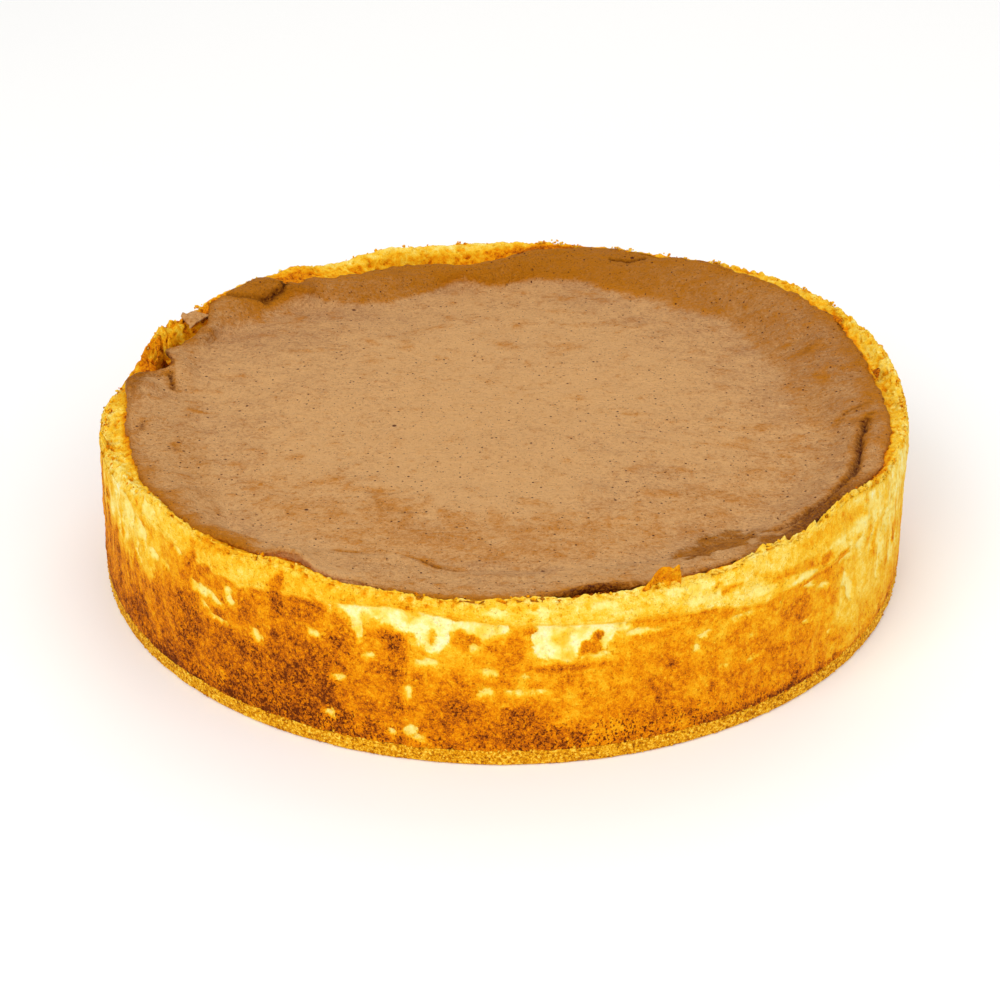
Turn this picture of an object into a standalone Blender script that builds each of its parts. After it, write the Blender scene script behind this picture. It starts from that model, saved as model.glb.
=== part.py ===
"""A whole baked cheesecake: a browned cheese filling on a thin biscuit base.

The cake stands on its flat biscuit base, +Z up, with its origin at the middle of the underside.
The filling is a turned body whose section changes round the cake. The browned top has sunk like a
dish, and the rim round it is torn and uneven: a narrow ledge on the right, a deep groove between
the rim and the folded skin at the back, and a broken stretch on the left.

Angles are in degrees round +Z: 0 is the right (+X), 90 the back, 180 the left, -90 the front.
Lengths are in millimetres until the objects are built.
"""
import math

import bpy

MM = 0.001

# The whole cake
BASE_RADIUS = 130.0
BASE_THICKNESS = 5.0
BASE_EDGE_ROUNDING = 0.9
GAP = 0.3                      # between the biscuit base and the filling
STEPS_AROUND = 120             # facets round the cake

# The side wall of the filling
FOOT_RADIUS = 129.0
FOOT_ROUNDING = 0.9
WALL_BULGE = 0.4               # half way up
CREASE_DEPTH = 0.6             # a shallow line that runs round the wall under the rim
CREASE_HALF_WIDTH = 1.2

# The sunken top
FLOOR_MIDDLE_HEIGHT = 47.0
MIN_LEDGE_WIDTH = 1.4          # the least distance from the skin's edge to the rim
MIN_BERM_WIDTH = 3.0           # the least distance from the bank's top to the skin's edge
GROOVE_SHARE = 0.36            # how far out the groove lies, from the skin's edge to the rim
CREST_SHARE = 0.84             # how far out the rim's crest lies
CREST_DROP = 1.3               # from the rim's crest down to its outer edge

# Rings of points in each stretch of the section
FLOOR_RINGS = 6
BANK_RINGS = 4
BERM_RINGS = 4
UPPER_WALL_RINGS = 3
LOWER_WALL_RINGS = 6

# Each measure round the cake is a base value and bumps of (angle, half width, amount).
RIM_RADIUS = (125.6, [(14, 62, 3.4), (-172, 34, 1.0)])
RIM_HEIGHT = (52.0, [
    (-142, 10, 2.2), (-118, 9, 2.2), (-98, 14, -0.8), (-54, 9, 2.4), (-38, 13, 4.6),
    (-4, 12, -1.5), (32, 42, 4.0), (109, 5, 0.8), (120, 7, -1.8), (127, 6, 1.0), (136, 5, 1.0),
    (150, 8, -1.2), (171, 13, -6.0), (-170, 26, -4.0)])
SKIN_EDGE_RADIUS = (122.4, [
    (-168, 36, -4.0), (157, 11, -8.0), (-118, 9, -3.0), (-88, 26, 2.4), (-42, 15, -2.4),
    (3, 22, -2.4), (70, 10, 1.6), (92, 14, -10.0), (104, 18, -9.0), (121, 15, -11.0),
    (131, 5, -8.0), (138, 5, -2.0)])
SKIN_EDGE_HEIGHT = (51.6, [
    (-168, 30, -1.6), (-130, 14, 1.2), (-92, 24, -0.6), (-45, 16, -1.6), (40, 42, 3.8),
    (106, 28, -2.6), (137, 9, 2.4), (157, 12, -3.0), (171, 10, -1.0)])
GROOVE_DEPTH = (0.2, [
    (-168, 26, 0.8), (-120, 14, 0.8), (-42, 20, 3.4), (5, 22, 1.6), (104, 26, 4.6),
    (157, 11, 7.0)])
FLOOR_RADIUS = (110.5, [
    (-165, 36, -6.0), (-132, 12, 5.0), (-107, 17, -8.0), (-80, 16, -3.0), (-14, 16, 4.5),
    (60, 24, -5.0), (92, 9, -9.0), (116, 22, -13.0), (153, 9, 4.0)])
FLOOR_HEIGHT = (46.0, [(-100, 70, 2.0), (95, 80, -2.6)])
BANK_WIDTH = (7.0, [(-90, 50, -4.0), (-165, 40, 4.0), (40, 60, 5.0), (105, 30, 3.0)])
BANK_DROP = (0.6, [(-95, 60, 0.9), (57, 40, 1.2), (-165, 40, 0.8)])
CREASE_HEIGHT = (44.0, [(-104, 16, 3.4), (-46, 22, -5.4)])


def clear_scene():
    """Remove whatever the scene holds."""
    for existing in list(bpy.data.objects):
        bpy.data.objects.remove(existing, do_unlink=True)


def make_material(name, colour, roughness):
    """Return a plain food material."""
    material = bpy.data.materials.new(name)
    material.use_nodes = True
    shader = material.node_tree.nodes["Principled BSDF"]
    shader.inputs["Base Color"].default_value = (*colour, 1.0)
    shader.inputs["Roughness"].default_value = roughness
    shader.inputs["Metallic"].default_value = 0.0
    material.diffuse_color = (*colour, 1.0)
    return material


def around(measure, angle):
    """Return a measure at one angle: its base value plus a rounded bump for each feature."""
    base, bumps = measure
    total = base
    for centre, half_width, amount in bumps:
        distance = abs((angle - centre + 180.0) % 360.0 - 180.0)
        if distance < half_width:
            total += amount * 0.5 * (1.0 + math.cos(math.pi * distance / half_width))
    return total


def mix(start, end, share):
    """Return the value that lies a share of the way from start to end."""
    return start + (end - start) * share


def ease(share):
    """Turn a straight rise into one that starts and ends gently."""
    return share * share * (3.0 - 2.0 * share)


def sunken_top(angle):
    """Return (radius, height) points from the middle of the top out to the skin's edge."""
    rim_radius = around(RIM_RADIUS, angle)
    edge_radius = min(around(SKIN_EDGE_RADIUS, angle), rim_radius - MIN_LEDGE_WIDTH)
    edge_height = around(SKIN_EDGE_HEIGHT, angle)
    floor_radius = around(FLOOR_RADIUS, angle)
    floor_height = around(FLOOR_HEIGHT, angle)
    bank_radius = min(floor_radius + around(BANK_WIDTH, angle), edge_radius - MIN_BERM_WIDTH)
    bank_height = edge_height - around(BANK_DROP, angle)
    points = []
    for ring in range(FLOOR_RINGS):
        share = ring / FLOOR_RINGS
        points.append((floor_radius * share, mix(FLOOR_MIDDLE_HEIGHT, floor_height, share ** 2)))
    for ring in range(BANK_RINGS):
        share = ring / BANK_RINGS
        points.append((mix(floor_radius, bank_radius, share),
                       mix(floor_height, bank_height, ease(share))))
    for ring in range(BERM_RINGS + 1):
        share = ring / BERM_RINGS
        points.append((mix(bank_radius, edge_radius, share),
                       mix(bank_height, edge_height, share)))
    return points


def torn_rim(angle):
    """Return the points from just past the skin's edge, over the groove, to the rim's crest."""
    edge_radius, edge_height = sunken_top(angle)[-1]
    rim_radius = around(RIM_RADIUS, angle)
    rim_height = around(RIM_HEIGHT, angle)
    groove_radius = mix(edge_radius, rim_radius, GROOVE_SHARE)
    groove_height = mix(edge_height, rim_height, GROOVE_SHARE) - around(GROOVE_DEPTH, angle)
    crest_radius = mix(edge_radius, rim_radius, CREST_SHARE)
    return [
        (mix(edge_radius, groove_radius, 0.4), mix(edge_height, groove_height, 0.7)),
        (groove_radius, groove_height),
        (mix(groove_radius, crest_radius, 0.55), mix(groove_height, rim_height, 0.7)),
        (crest_radius, rim_height),
    ]


def side_wall(angle):
    """Return the points from the rim's outer edge down the wall to its foot."""
    rim_radius = around(RIM_RADIUS, angle)
    top = around(RIM_HEIGHT, angle) - CREST_DROP
    crease = min(around(CREASE_HEIGHT, angle), top - 3.0 * CREASE_HALF_WIDTH)
    foot = BASE_THICKNESS + GAP + FOOT_ROUNDING
    points = []
    for ring in range(UPPER_WALL_RINGS + 1):
        share = ring / UPPER_WALL_RINGS
        points.append((mix(rim_radius, wall_radius(rim_radius, 0.2), share),
                       mix(top, crease + CREASE_HALF_WIDTH, share)))
    points.append((wall_radius(rim_radius, 0.22) - CREASE_DEPTH, crease))
    for ring in range(LOWER_WALL_RINGS + 1):
        share = ring / LOWER_WALL_RINGS
        points.append((wall_radius(rim_radius, mix(0.24, 1.0, share)),
                       mix(crease - CREASE_HALF_WIDTH, foot, share)))
    points.append((FOOT_RADIUS - FOOT_ROUNDING, foot - FOOT_ROUNDING))
    return points


def wall_radius(rim_radius, share):
    """Return the wall's radius a share of the way down from the rim to the foot."""
    bulge = 4.0 * share * (1.0 - share) * WALL_BULGE
    return mix(rim_radius, FOOT_RADIUS, share) + bulge


def filling_section(angle):
    """Return the filling's whole section, from the middle of its top to that of its underside."""
    underside = [(0.0, BASE_THICKNESS + GAP)]
    return sunken_top(angle) + torn_rim(angle) + side_wall(angle) + underside


def turned_mesh(name, section):
    """Turn a section of (radius, height) points round Z and keep each point's row number."""
    mesh = bpy.data.meshes.new(name)
    points = [(radius * MM, 0.0, height * MM) for radius, height in section]
    edges = [(row, row + 1) for row in range(len(points) - 1)]
    mesh.from_pydata(points, edges, [])
    rows = mesh.attributes.new("row", "INT", "POINT")
    for row in range(len(points)):
        rows.data[row].value = row
    profile = bpy.data.objects.new(name + "_profile", mesh)
    bpy.context.scene.collection.objects.link(profile)
    screw = profile.modifiers.new("Turn", "SCREW")
    screw.axis = "Z"
    screw.angle = math.tau
    screw.steps = STEPS_AROUND
    screw.render_steps = STEPS_AROUND
    screw.use_merge_vertices = True
    screw.merge_threshold = 0.00005
    evaluated = profile.evaluated_get(bpy.context.evaluated_depsgraph_get())
    turned = bpy.data.meshes.new_from_object(evaluated)
    turned.name = name
    bpy.data.objects.remove(profile, do_unlink=True)
    return turned


def shape_round_the_cake(mesh, section_at):
    """Move each point of a turned mesh to where the section at its own angle puts its row."""
    rows = mesh.attributes["row"].data
    sections = {}
    for vertex in mesh.vertices:
        angle = round(math.degrees(math.atan2(vertex.co.y, vertex.co.x)), 3)
        if angle not in sections:
            sections[angle] = section_at(angle)
        radius, height = sections[angle][rows[vertex.index].value]
        turn = math.radians(angle)
        vertex.co = (radius * math.cos(turn) * MM, radius * math.sin(turn) * MM, height * MM)
    mesh.attributes.remove(mesh.attributes["row"])


def add_object(name, mesh, material, collection):
    """Make a named object of a mesh, in the cake's collection."""
    mesh.materials.clear()
    mesh.materials.append(material)
    made = bpy.data.objects.new(name, mesh)
    collection.objects.link(made)
    return made


def make_filling(collection):
    """Make the browned cheese filling, with its sunken top and torn rim."""
    mesh = turned_mesh("cheese_filling", filling_section(0.0))
    shape_round_the_cake(mesh, filling_section)
    mesh.shade_smooth()
    mesh.set_sharp_from_angle(angle=math.radians(50.0))
    browned = make_material("browned_cheese", (0.48, 0.26, 0.10), 0.6)
    return add_object("cheese_filling", mesh, browned, collection)


def make_base(collection):
    """Make the thin biscuit base, a disc with rounded edges."""
    bpy.ops.mesh.primitive_cylinder_add(
        vertices=STEPS_AROUND,
        radius=BASE_RADIUS * MM,
        depth=BASE_THICKNESS * MM,
        location=(0.0, 0.0, 0.5 * BASE_THICKNESS * MM))
    base = bpy.context.object
    base.name = "biscuit_base"
    base.data.name = "biscuit_base"
    base.data.materials.append(make_material("biscuit", (0.66, 0.42, 0.17), 0.8))
    rounding = base.modifiers.new("Round the edges", "BEVEL")
    rounding.width = BASE_EDGE_ROUNDING * MM
    rounding.segments = 2
    rounding.limit_method = "ANGLE"
    rounding.angle_limit = math.radians(60.0)
    base.data.shade_smooth()
    base.data.set_sharp_from_angle(angle=math.radians(50.0))
    for holder in list(base.users_collection):
        holder.objects.unlink(base)
    collection.objects.link(base)
    return base


def main():
    """Build the cake."""
    clear_scene()
    collection = bpy.data.collections.new("baked_cheesecake")
    bpy.context.scene.collection.children.link(collection)
    make_base(collection)
    make_filling(collection)


main()
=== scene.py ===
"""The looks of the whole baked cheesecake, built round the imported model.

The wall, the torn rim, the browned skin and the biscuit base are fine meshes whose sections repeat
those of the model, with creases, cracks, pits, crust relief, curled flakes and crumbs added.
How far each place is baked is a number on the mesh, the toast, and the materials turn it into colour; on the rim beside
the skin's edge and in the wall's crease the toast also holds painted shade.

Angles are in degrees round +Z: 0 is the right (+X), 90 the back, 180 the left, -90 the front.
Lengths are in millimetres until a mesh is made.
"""
import math
import bmesh
import bpy
import numpy as np
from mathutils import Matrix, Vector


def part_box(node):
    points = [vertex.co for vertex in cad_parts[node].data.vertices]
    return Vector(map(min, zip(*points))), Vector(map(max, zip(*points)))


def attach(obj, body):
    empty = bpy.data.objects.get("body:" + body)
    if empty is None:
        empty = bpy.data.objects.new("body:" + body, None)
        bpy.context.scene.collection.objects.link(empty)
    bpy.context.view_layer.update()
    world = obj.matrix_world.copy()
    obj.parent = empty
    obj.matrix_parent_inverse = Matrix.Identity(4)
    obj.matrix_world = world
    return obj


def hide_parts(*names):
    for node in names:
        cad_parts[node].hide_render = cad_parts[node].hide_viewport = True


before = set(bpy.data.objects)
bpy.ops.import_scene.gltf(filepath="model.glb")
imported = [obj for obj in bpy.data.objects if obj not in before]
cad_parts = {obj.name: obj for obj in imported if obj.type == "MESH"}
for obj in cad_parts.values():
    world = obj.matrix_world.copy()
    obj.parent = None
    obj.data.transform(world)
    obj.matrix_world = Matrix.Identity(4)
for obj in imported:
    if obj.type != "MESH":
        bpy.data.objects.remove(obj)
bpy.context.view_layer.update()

MM = 0.001
SEED = 20
STEPS_AROUND = 1200
SKIN_STEPS_AROUND = 1000
BASE_STEPS_AROUND = 1800

# ---- The model's own measures: a base value and bumps of (angle, half width, amount) ----
BASE_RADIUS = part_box("biscuit_base")[1][0] / MM
BASE_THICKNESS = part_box("biscuit_base")[1][2] / MM
GAP = 0.3
FOOT_RADIUS = 129.0
FOOT_ROUNDING = 0.9
WALL_BULGE = 0.4
CREASE_DEPTH = 0.6
FLOOR_MIDDLE_HEIGHT = 47.0
MIN_LEDGE_WIDTH = 1.4
MIN_BERM_WIDTH = 3.0
GROOVE_SHARE = 0.36
CREST_SHARE = 0.84
CREST_DROP = 1.3
RIM_RADIUS = (125.6, [(14, 62, 3.4), (-172, 34, 1.0)])
RIM_HEIGHT = (52.0, [
    (-142, 10, 2.2), (-118, 9, 2.2), (-98, 14, -0.8), (-54, 9, 2.4), (-38, 13, 4.6),
    (-4, 12, -1.5), (32, 42, 4.0), (109, 5, 0.8), (120, 7, -1.8), (127, 6, 1.0), (136, 5, 1.0),
    (150, 8, -1.2), (171, 13, -6.0), (-170, 26, -4.0)])
SKIN_EDGE_RADIUS = (122.4, [
    (-168, 36, -4.0), (157, 11, -8.0), (-118, 9, -3.0), (-88, 26, 2.4), (-42, 15, -2.4),
    (3, 22, -2.4), (70, 10, 1.6), (92, 14, -10.0), (104, 18, -9.0), (121, 15, -11.0),
    (131, 5, -8.0), (138, 5, -2.0)])
SKIN_EDGE_HEIGHT = (51.6, [
    (-168, 30, -1.6), (-130, 14, 1.2), (-92, 24, -0.6), (-45, 16, -1.6), (40, 42, 3.8),
    (106, 28, -2.6), (137, 9, 2.4), (157, 12, -3.0), (171, 10, -1.0)])
GROOVE_DEPTH = (0.2, [
    (-168, 26, 0.8), (-120, 14, 0.8), (-42, 20, 3.4), (5, 22, 1.6), (104, 26, 4.6),
    (157, 11, 7.0)])
FLOOR_RADIUS = (110.5, [
    (-165, 36, -6.0), (-132, 12, 5.0), (-107, 17, -8.0), (-80, 16, -3.0), (-14, 16, 4.5),
    (60, 24, -5.0), (92, 9, -9.0), (116, 22, -13.0), (153, 9, 4.0)])
FLOOR_HEIGHT = (46.0, [(-100, 70, 2.0), (95, 80, -2.6)])
BANK_WIDTH = (7.0, [(-90, 50, -4.0), (-165, 40, 4.0), (40, 60, 5.0), (105, 30, 3.0)])
BANK_DROP = (0.6, [(-95, 60, 0.9), (57, 40, 1.2), (-165, 40, 0.8)])
# The crease's height at each angle
CREASE_LINE = [
    (-180, 45.0), (-165, 46.0), (-150, 46.8), (-140, 46.0), (-134, 44.0), (-128, 42.2), (-125.5, 41.6),
    (-122.7, 43.8), (-117, 45.0), (-111, 46.0), (-103.6, 48.0), (-99, 47.0), (-94.5, 46.0), (-90, 44.7),
    (-81, 43.8), (-74, 42.8), (-67, 41.9), (-62, 41.0), (-58, 38.4), (-55, 37.2), (-50, 37.8),
    (-40, 38.8), (-20, 41.0), (20, 44.5), (45, 46.0), (62, 44.0), (84, 45.5), (104, 43.6),
    (122, 45.0), (140, 43.0), (160, 42.0)]
CREASE_ROOM = 3.4

# ---- Finer measures round the cake, which only the looks have ----
ROLL = (0.0, [(98, 52, 1.0)])                      # how far the bank stands up like a roll
BANK_REACH = (4.0, [(8, 70, 16.0), (-170, 50, 8.0)])    # how far in the bank starts to rise
EDGE_SHIFT = (0.0, [(-79, 9, -2.2), (168.5, 7, -10.5), (150, 5, -2.5), (24, 5, 1.0), (-120, 4, -0.8)])
EDGE_LIFT = (0.0, [(-118.5, 6, 2.1), (-109, 7, 1.0), (-170, 30, -0.6), (-79, 9, 0.9), (178, 9, 1.2)])
GROOVE_EXTRA = (0.3, [(-78, 9, 1.6), (167, 9, 4.0), (0, 16, 0.6)])
RIM_DIP = (0.0, [(-79, 9, 1.1), (-118, 5, 0.9)])
# How marked the crease is: the height of its lip, the depth of its groove and the strength of its painted shade
CREASE_STRENGTH = (0.35, [(-85, 56, 0.75), (60, 40, 0.5), (140, 30, 0.4)])
RIM_JAG = (0.8, [(-48, 26, 1.1), (40, 34, 0.6), (108, 24, -0.6), (160, 16, 1.3), (-170, 24, 0.6)])
# A browner, darker band on the skin just inside its edge: the skin's own browning, and at -42, where the skin dips
# under the tall crest, painted shade
EDGE_BAND_AND_SHADE = (0.0, [(-42, 19, 0.95), (12, 22, 0.12), (132, 8, 0.2), (154, 10, 0.3), (176, 7, 0.5)])
# Painted shade on the face of the skin past its edge, under the lip: deepest in the gap at -79 and taken off the pale
# lip at -114
EDGE_FACE_SHADE = (0.30, [(-79, 9, 0.85), (-42, 19, 0.6), (-114, 14, -0.3), (170, 12, 0.6)])
SKIN_EDGE_ORANGE = (0.30, [(-138, 30, 0.5), (-90, 28, 0.6), (100, 50, 0.3), (0, 30, 0.3)])
# The lip at the front left is paler, its own colour, and its shaded face past the edge is lightened as painted light
EDGE_PALE_AND_LIT = (0.0, [(-114, 12, 1.0)])
# How dusky the skin grows toward its edge: the skin's own tone, partly painted sheen of grazing light
DUSK_AND_SHEEN = (0.42, [(8, 74, 0.16), (-92, 50, -0.04), (48, 40, -0.12), (-165, 66, -0.12), (-128, 24, -0.08)])
BANK_ORANGE = (0.14, [(84, 88, 0.80), (-150, 34, 0.12), (6, 44, 0.20), (138, 14, 0.45)])
# Painted light: the skin is lighter near its front edge; with it comes a warmer ring at the front
FRONT_LIGHT_AND_WARMTH = (0.0, [(-96, 84, 0.56), (-24, 44, 0.26)])
GRIT_LOW = (0.30, [(-118, 22, 0.70), (-76, 20, 0.55), (60, 30, 0.5), (160, 30, 0.5)])
FOOT_LINE = (0.03, [(-45, 34, 0.22), (-150, 20, 0.12), (60, 60, 0.12)])
BLOTCHES = (0.0, [(-152, 17, 1.0), (-25, 17, 1.0), (20, 30, 0.7), (145, 24, 0.6)])
BLOTCH_FOOT = (17.0, [(-152, 22, 12.0)])

# How baked the wall is round the cake: angle, then at the foot, the middle, the top and the band
WALL_TOAST = [
    (-180, 0.70, 0.60, 0.42, 0.28), (-164, 0.76, 0.64, 0.38, 0.26), (-155, 0.80, 0.60, 0.26, 0.22),
    (-147, 0.80, 0.64, 0.26, 0.20), (-141, 0.81, 0.73, 0.44, 0.30), (-138.5, 0.82, 0.76, 0.60, 0.35),
    (-128, 0.80, 0.76, 0.66, 0.37), (-118, 0.79, 0.83, 0.72, 0.40), (-112.5, 0.80, 0.79, 0.66, 0.40),
    (-109, 0.72, 0.65, 0.58, 0.44), (-100, 0.70, 0.64, 0.52, 0.45), (-90, 0.75, 0.65, 0.52, 0.37),
    (-80, 0.71, 0.62, 0.50, 0.30), (-70, 0.69, 0.60, 0.53, 0.27), (-60, 0.67, 0.61, 0.57, 0.26),
    (-50, 0.65, 0.61, 0.58, 0.33), (-41.5, 0.61, 0.56, 0.52, 0.32), (-39.3, 0.53, 0.40, 0.33, 0.27),
    (-30, 0.48, 0.36, 0.24, 0.22), (-24, 0.48, 0.36, 0.25, 0.22), (0, 0.56, 0.46, 0.34, 0.28),
    (30, 0.68, 0.58, 0.48, 0.28), (60, 0.78, 0.70, 0.60, 0.34), (90, 0.68, 0.60, 0.54, 0.34),
    (120, 0.64, 0.58, 0.40, 0.32), (150, 0.76, 0.68, 0.56, 0.34)]
TOAST_HEIGHTS = (7.0, 20.0, 38.0)

# Where the crust has come off under the crease: angle, and how far down the bare cream reaches
BARE_CREAM = [
    (-113, 50), (-111.5, 45.4), (-109.6, 44.0), (-108.7, 42.0), (-108.2, 36.2), (-107.5, 36.6),
    (-107.2, 42.6), (-105, 43.4), (-103.4, 42.4), (-101.6, 41.6), (-100.4, 38.4), (-98.6, 35.6),
    (-97.2, 36.2), (-96.4, 39.6), (-96, 43.4), (-94.4, 42.0), (-93.8, 37.6), (-92.8, 37.2),
    (-91.4, 40.4), (-90.2, 41.6), (-89.0, 43.2), (-88.6, 50), (-87.0, 50), (-86.6, 44.4), (-86.2, 37.6),
    (-85.4, 34.2), (-83, 33.0), (-81.2, 33.4), (-80.4, 36.0), (-77.0, 36.6), (-75.8, 40.6), (-74.0, 40.8),
    (-73.4, 50), (8, 50), (10, 43), (13, 38), (16, 41), (21, 36.5), (25, 38), (29, 41), (31, 50),
    (86, 50), (87, 43), (92, 38.5), (95, 40), (100, 35.5), (104, 37), (108, 41), (110, 50),
    (132, 50), (133, 41), (138, 38.5), (141, 35), (145, 37.5), (148, 50)]

# Patches on the wall: angle, height, half length round the wall, half height (and how baked they are)
CREAM_FLECKS = [
    (-73.0, 38.8, 5.4, 1.1), (-132, 35.6, 3.4, 1.7), (-129, 34.4, 2.4, 1.6), (-127.5, 39.2, 1.5, 1.5),
    (-127, 36.2, 1.4, 1.2), (-131.6, 31.0, 1.7, 1.3), (-128.6, 28.6, 4.2, 0.5), (-122.5, 28.5, 2.0, 1.7),
    (-114, 35.0, 1.8, 1.1), (-106.3, 32.0, 1.7, 1.2), (-99.4, 31.5, 2.6, 1.4), (-91.5, 30.0, 2.4, 1.3),
    (-92.4, 23.0, 2.2, 1.3), (-87.6, 23.3, 4.0, 1.0), (-129, 11.3, 1.0, 0.9), (-101.3, 10.0, 1.4, 1.8),
    (-103.9, 8.6, 1.1, 1.2), (-100.4, 7.4, 1.5, 1.2), (-111.8, 11, 0.9, 0.6), (-111, 23, 1.2, 0.7),
    (-101.6, 22.6, 0.7, 2.6), (-86.8, 28.0, 1.8, 0.9), (-78.2, 33.6, 3.8, 0.9), (-64, 33.0, 1.7, 1.3),
    (-65.3, 30.2, 1.4, 1.3), (-58.6, 35.6, 2.6, 0.7), (-57.3, 28.5, 1.4, 0.6), (-52, 35.2, 1.8, 0.8),
    (-46.6, 35.6, 1.6, 0.8), (-44, 33.0, 2.2, 0.9), (-47.5, 24.3, 2.0, 0.5), (-61, 22.0, 1.6, 0.5),
    (-57, 20.6, 1.4, 0.5), (-42, 16.0, 1.0, 0.5), (-82.6, 15.6, 1.4, 0.6), (-39, 30, 2.0, 2.4),
    (-37.5, 26, 2.0, 2.6), (-39.0, 37, 3.6, 0.9), (-35, 38, 4.0, 1.5), (-23.0, 20.4, 1.2, 3.2),
    (-64, 44.8, 9.0, 1.3), (-56, 41.6, 7.0, 2.0), (-41.5, 43.6, 5.0, 1.6), (-35, 44, 5.0, 2.0),
    (-69, 49.4, 4.0, 1.6), (-65.5, 48.4, 3.4, 1.6), (-85.0, 48.2, 4.0, 1.5), (-78, 48.4, 4.4, 1.6),
    (-90.5, 47.6, 3.0, 1.1), (-74.5, 45.6, 4.0, 0.8), (-48.2, 39.7, 5.6, 1.6),
    (-136.5, 43.2, 1.5, 1.1), (-139.5, 36, 1.6, 1.2), (-146, 42, 3.0, 3.0), (-144, 50, 5.0, 2.4),
    (-150, 45, 4.0, 3.0), (-143, 37, 2.4, 1.6), (-148, 54, 5.0, 1.6)]
DARK_PATCHES = [
    (-111, 33, 3.6, 6.0), (-103.6, 36, 3.0, 6.0), (-119, 40.4, 3.0, 3.4), (-102, 17.5, 2.6, 2.6),
    (-95.5, 16.5, 3.0, 4.4), (-104, 28, 3.0, 3.0), (-113, 28, 3.0, 4.0), (-124, 12, 12, 5),
    (-114, 10.5, 12, 4), (-117, 17, 7, 5), (-135, 24, 6, 8), (-123, 22, 7, 5), (-147, 14, 8, 5), (-87.4, 12, 5.4, 6),
    (-82.6, 8.2, 3.6, 2.6), (-112, 22, 4, 3), (-155.5, 22, 1.6, 8), (-160, 34, 1.8, 14),
    (-164.5, 40, 2.4, 12), (50, 20, 14, 8), (64, 30, 8, 7),
    (76, 14, 12, 5), (160, 18, 12, 7), (170, 30, 7, 8), (126, 14, 8, 5), (8, 12, 9, 5)]
ORANGE_PATCHES = [
    (-93.9, 39.8, 2.2, 1.6, 0.64), (-95.6, 40.6, 1.2, 2.0, 0.62), (-98.7, 39.6, 0.7, 1.4, 0.52),
    (-100.0, 36.0, 1.4, 0.8, 0.56), (-88.6, 36.0, 3.2, 5.0, 0.66), (-87.2, 42.4, 2.6, 1.6, 0.68),
    (-82, 30.5, 11, 0.9, 0.78), (-78.6, 36.4, 3.0, 1.8, 0.66), (-78.3, 38.8, 1.5, 1.8, 0.68),
    (-80.2, 35.6, 1.2, 1.2, 0.66), (-76.6, 36.2, 1.6, 1.0, 0.64), (-73.6, 31, 1.6, 4.6, 0.62), (-69.4, 30.6, 1.2, 3.6, 0.64),
    (-68.4, 26.6, 1.6, 1.8, 0.80), (-70.6, 41.8, 8.0, 1.3, 0.60), (-62.8, 46.9, 1.8, 1.2, 0.64),
    (-60.8, 45.3, 2.0, 0.9, 0.64), (-50.8, 43.1, 5.6, 0.9, 0.60), (-47.0, 42.5, 5.0, 1.2, 0.60),
    (-43.2, 40.9, 4.4, 1.7, 0.60), (-40.4, 39.2, 3.6, 1.3, 0.58), (-47.5, 37.6, 9.0, 0.5, 0.68),
    (-45.0, 51.5, 10, 3.2, 0.46), (-38.0, 48.8, 8.0, 2.8, 0.44), (-101.7, 47.6, 1.5, 0.7, 0.70),
    (-95.5, 45.8, 1.8, 0.8, 0.70), (-131, 49.8, 3.6, 0.8, 0.58), (-133.4, 45.0, 2.0, 1.4, 0.66),
    # The patches at -131.0 and -127.6, along the crease, are painted shadow under its lip
    (-131.0, 43.2, 2.6, 0.9, 0.86), (-127.6, 42.3, 2.6, 0.5, 0.80), (-118.8, 48.0, 2.0, 2.8, 0.72),
    (-119.4, 53.3, 3.0, 1.1, 0.96), (-118.6, 51.4, 1.4, 0.8, 0.80), (-22, 26.4, 0.8, 1.6, 0.74),
    (24, 41, 2.4, 1.6, 0.64), (100, 41, 2.6, 1.5, 0.64), (142, 40, 1.8, 1.4, 0.66),
    (-86.2, 50.6, 1.0, 1.2, 0.62), (70, 49, 7, 1.4, 0.5), (40, 50, 9, 2.0, 0.46), (170, 42, 6, 2.0, 0.6)]
UPRIGHT_STREAKS = (0.22, [(-156, 24, 0.9), (-24, 24, 0.7), (30, 30, 0.5), (150, 30, 0.6)])
CREAM_LEVEL = 0.05
FLECK_LEVEL = 0.13
DARK_LEVEL = 0.84

# How baked the rim is round the cake, with painted shade from -83 to -36: angle, then beside the skin, in the groove
# and at the crest
RIM_TOAST = [
    (-180, 0.62, 0.36, 0.30), (-165, 0.66, 0.36, 0.32), (-150, 0.56, 0.30, 0.26),
    (-138, 0.46, 0.36, 0.36), (-126, 0.56, 0.46, 0.40), (-119, 0.92, 0.70, 0.36),
    (-112, 0.56, 0.46, 0.36), (-96, 0.50, 0.40, 0.34), (-87, 0.62, 0.46, 0.30),
    # From -83 to -36 the rim beside the skin and in the groove is near the darkest: painted shade in the gap under the
    # skin's edge and on the crest's inner face, over real browning
    (-83, 0.98, 0.80, 0.26), (-74, 1.00, 0.95, 0.24), (-70, 0.90, 0.80, 0.36),
    (-60, 0.92, 0.86, 0.24), (-50, 0.96, 0.94, 0.28), (-36, 0.98, 0.90, 0.34),
    (-26, 0.90, 0.66, 0.34), (-16, 0.72, 0.36, 0.30), (0, 0.74, 0.34, 0.28),
    (14, 0.72, 0.34, 0.30), (24, 0.74, 0.40, 0.30), (45, 0.60, 0.42, 0.34), (62, 0.62, 0.50, 0.38),
    (76, 0.80, 0.76, 0.42), (86, 0.82, 0.74, 0.34), (94, 0.72, 0.54, 0.26), (112, 0.66, 0.48, 0.27),
    (124, 0.68, 0.48, 0.30), (130, 0.80, 0.70, 0.46), (140, 0.74, 0.66, 0.36),
    (149, 0.92, 0.72, 0.62), (156, 0.66, 0.42, 0.52), (164, 0.72, 0.46, 0.62),
    (171, 0.94, 0.90, 0.52), (176, 0.70, 0.50, 0.30)]
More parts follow.
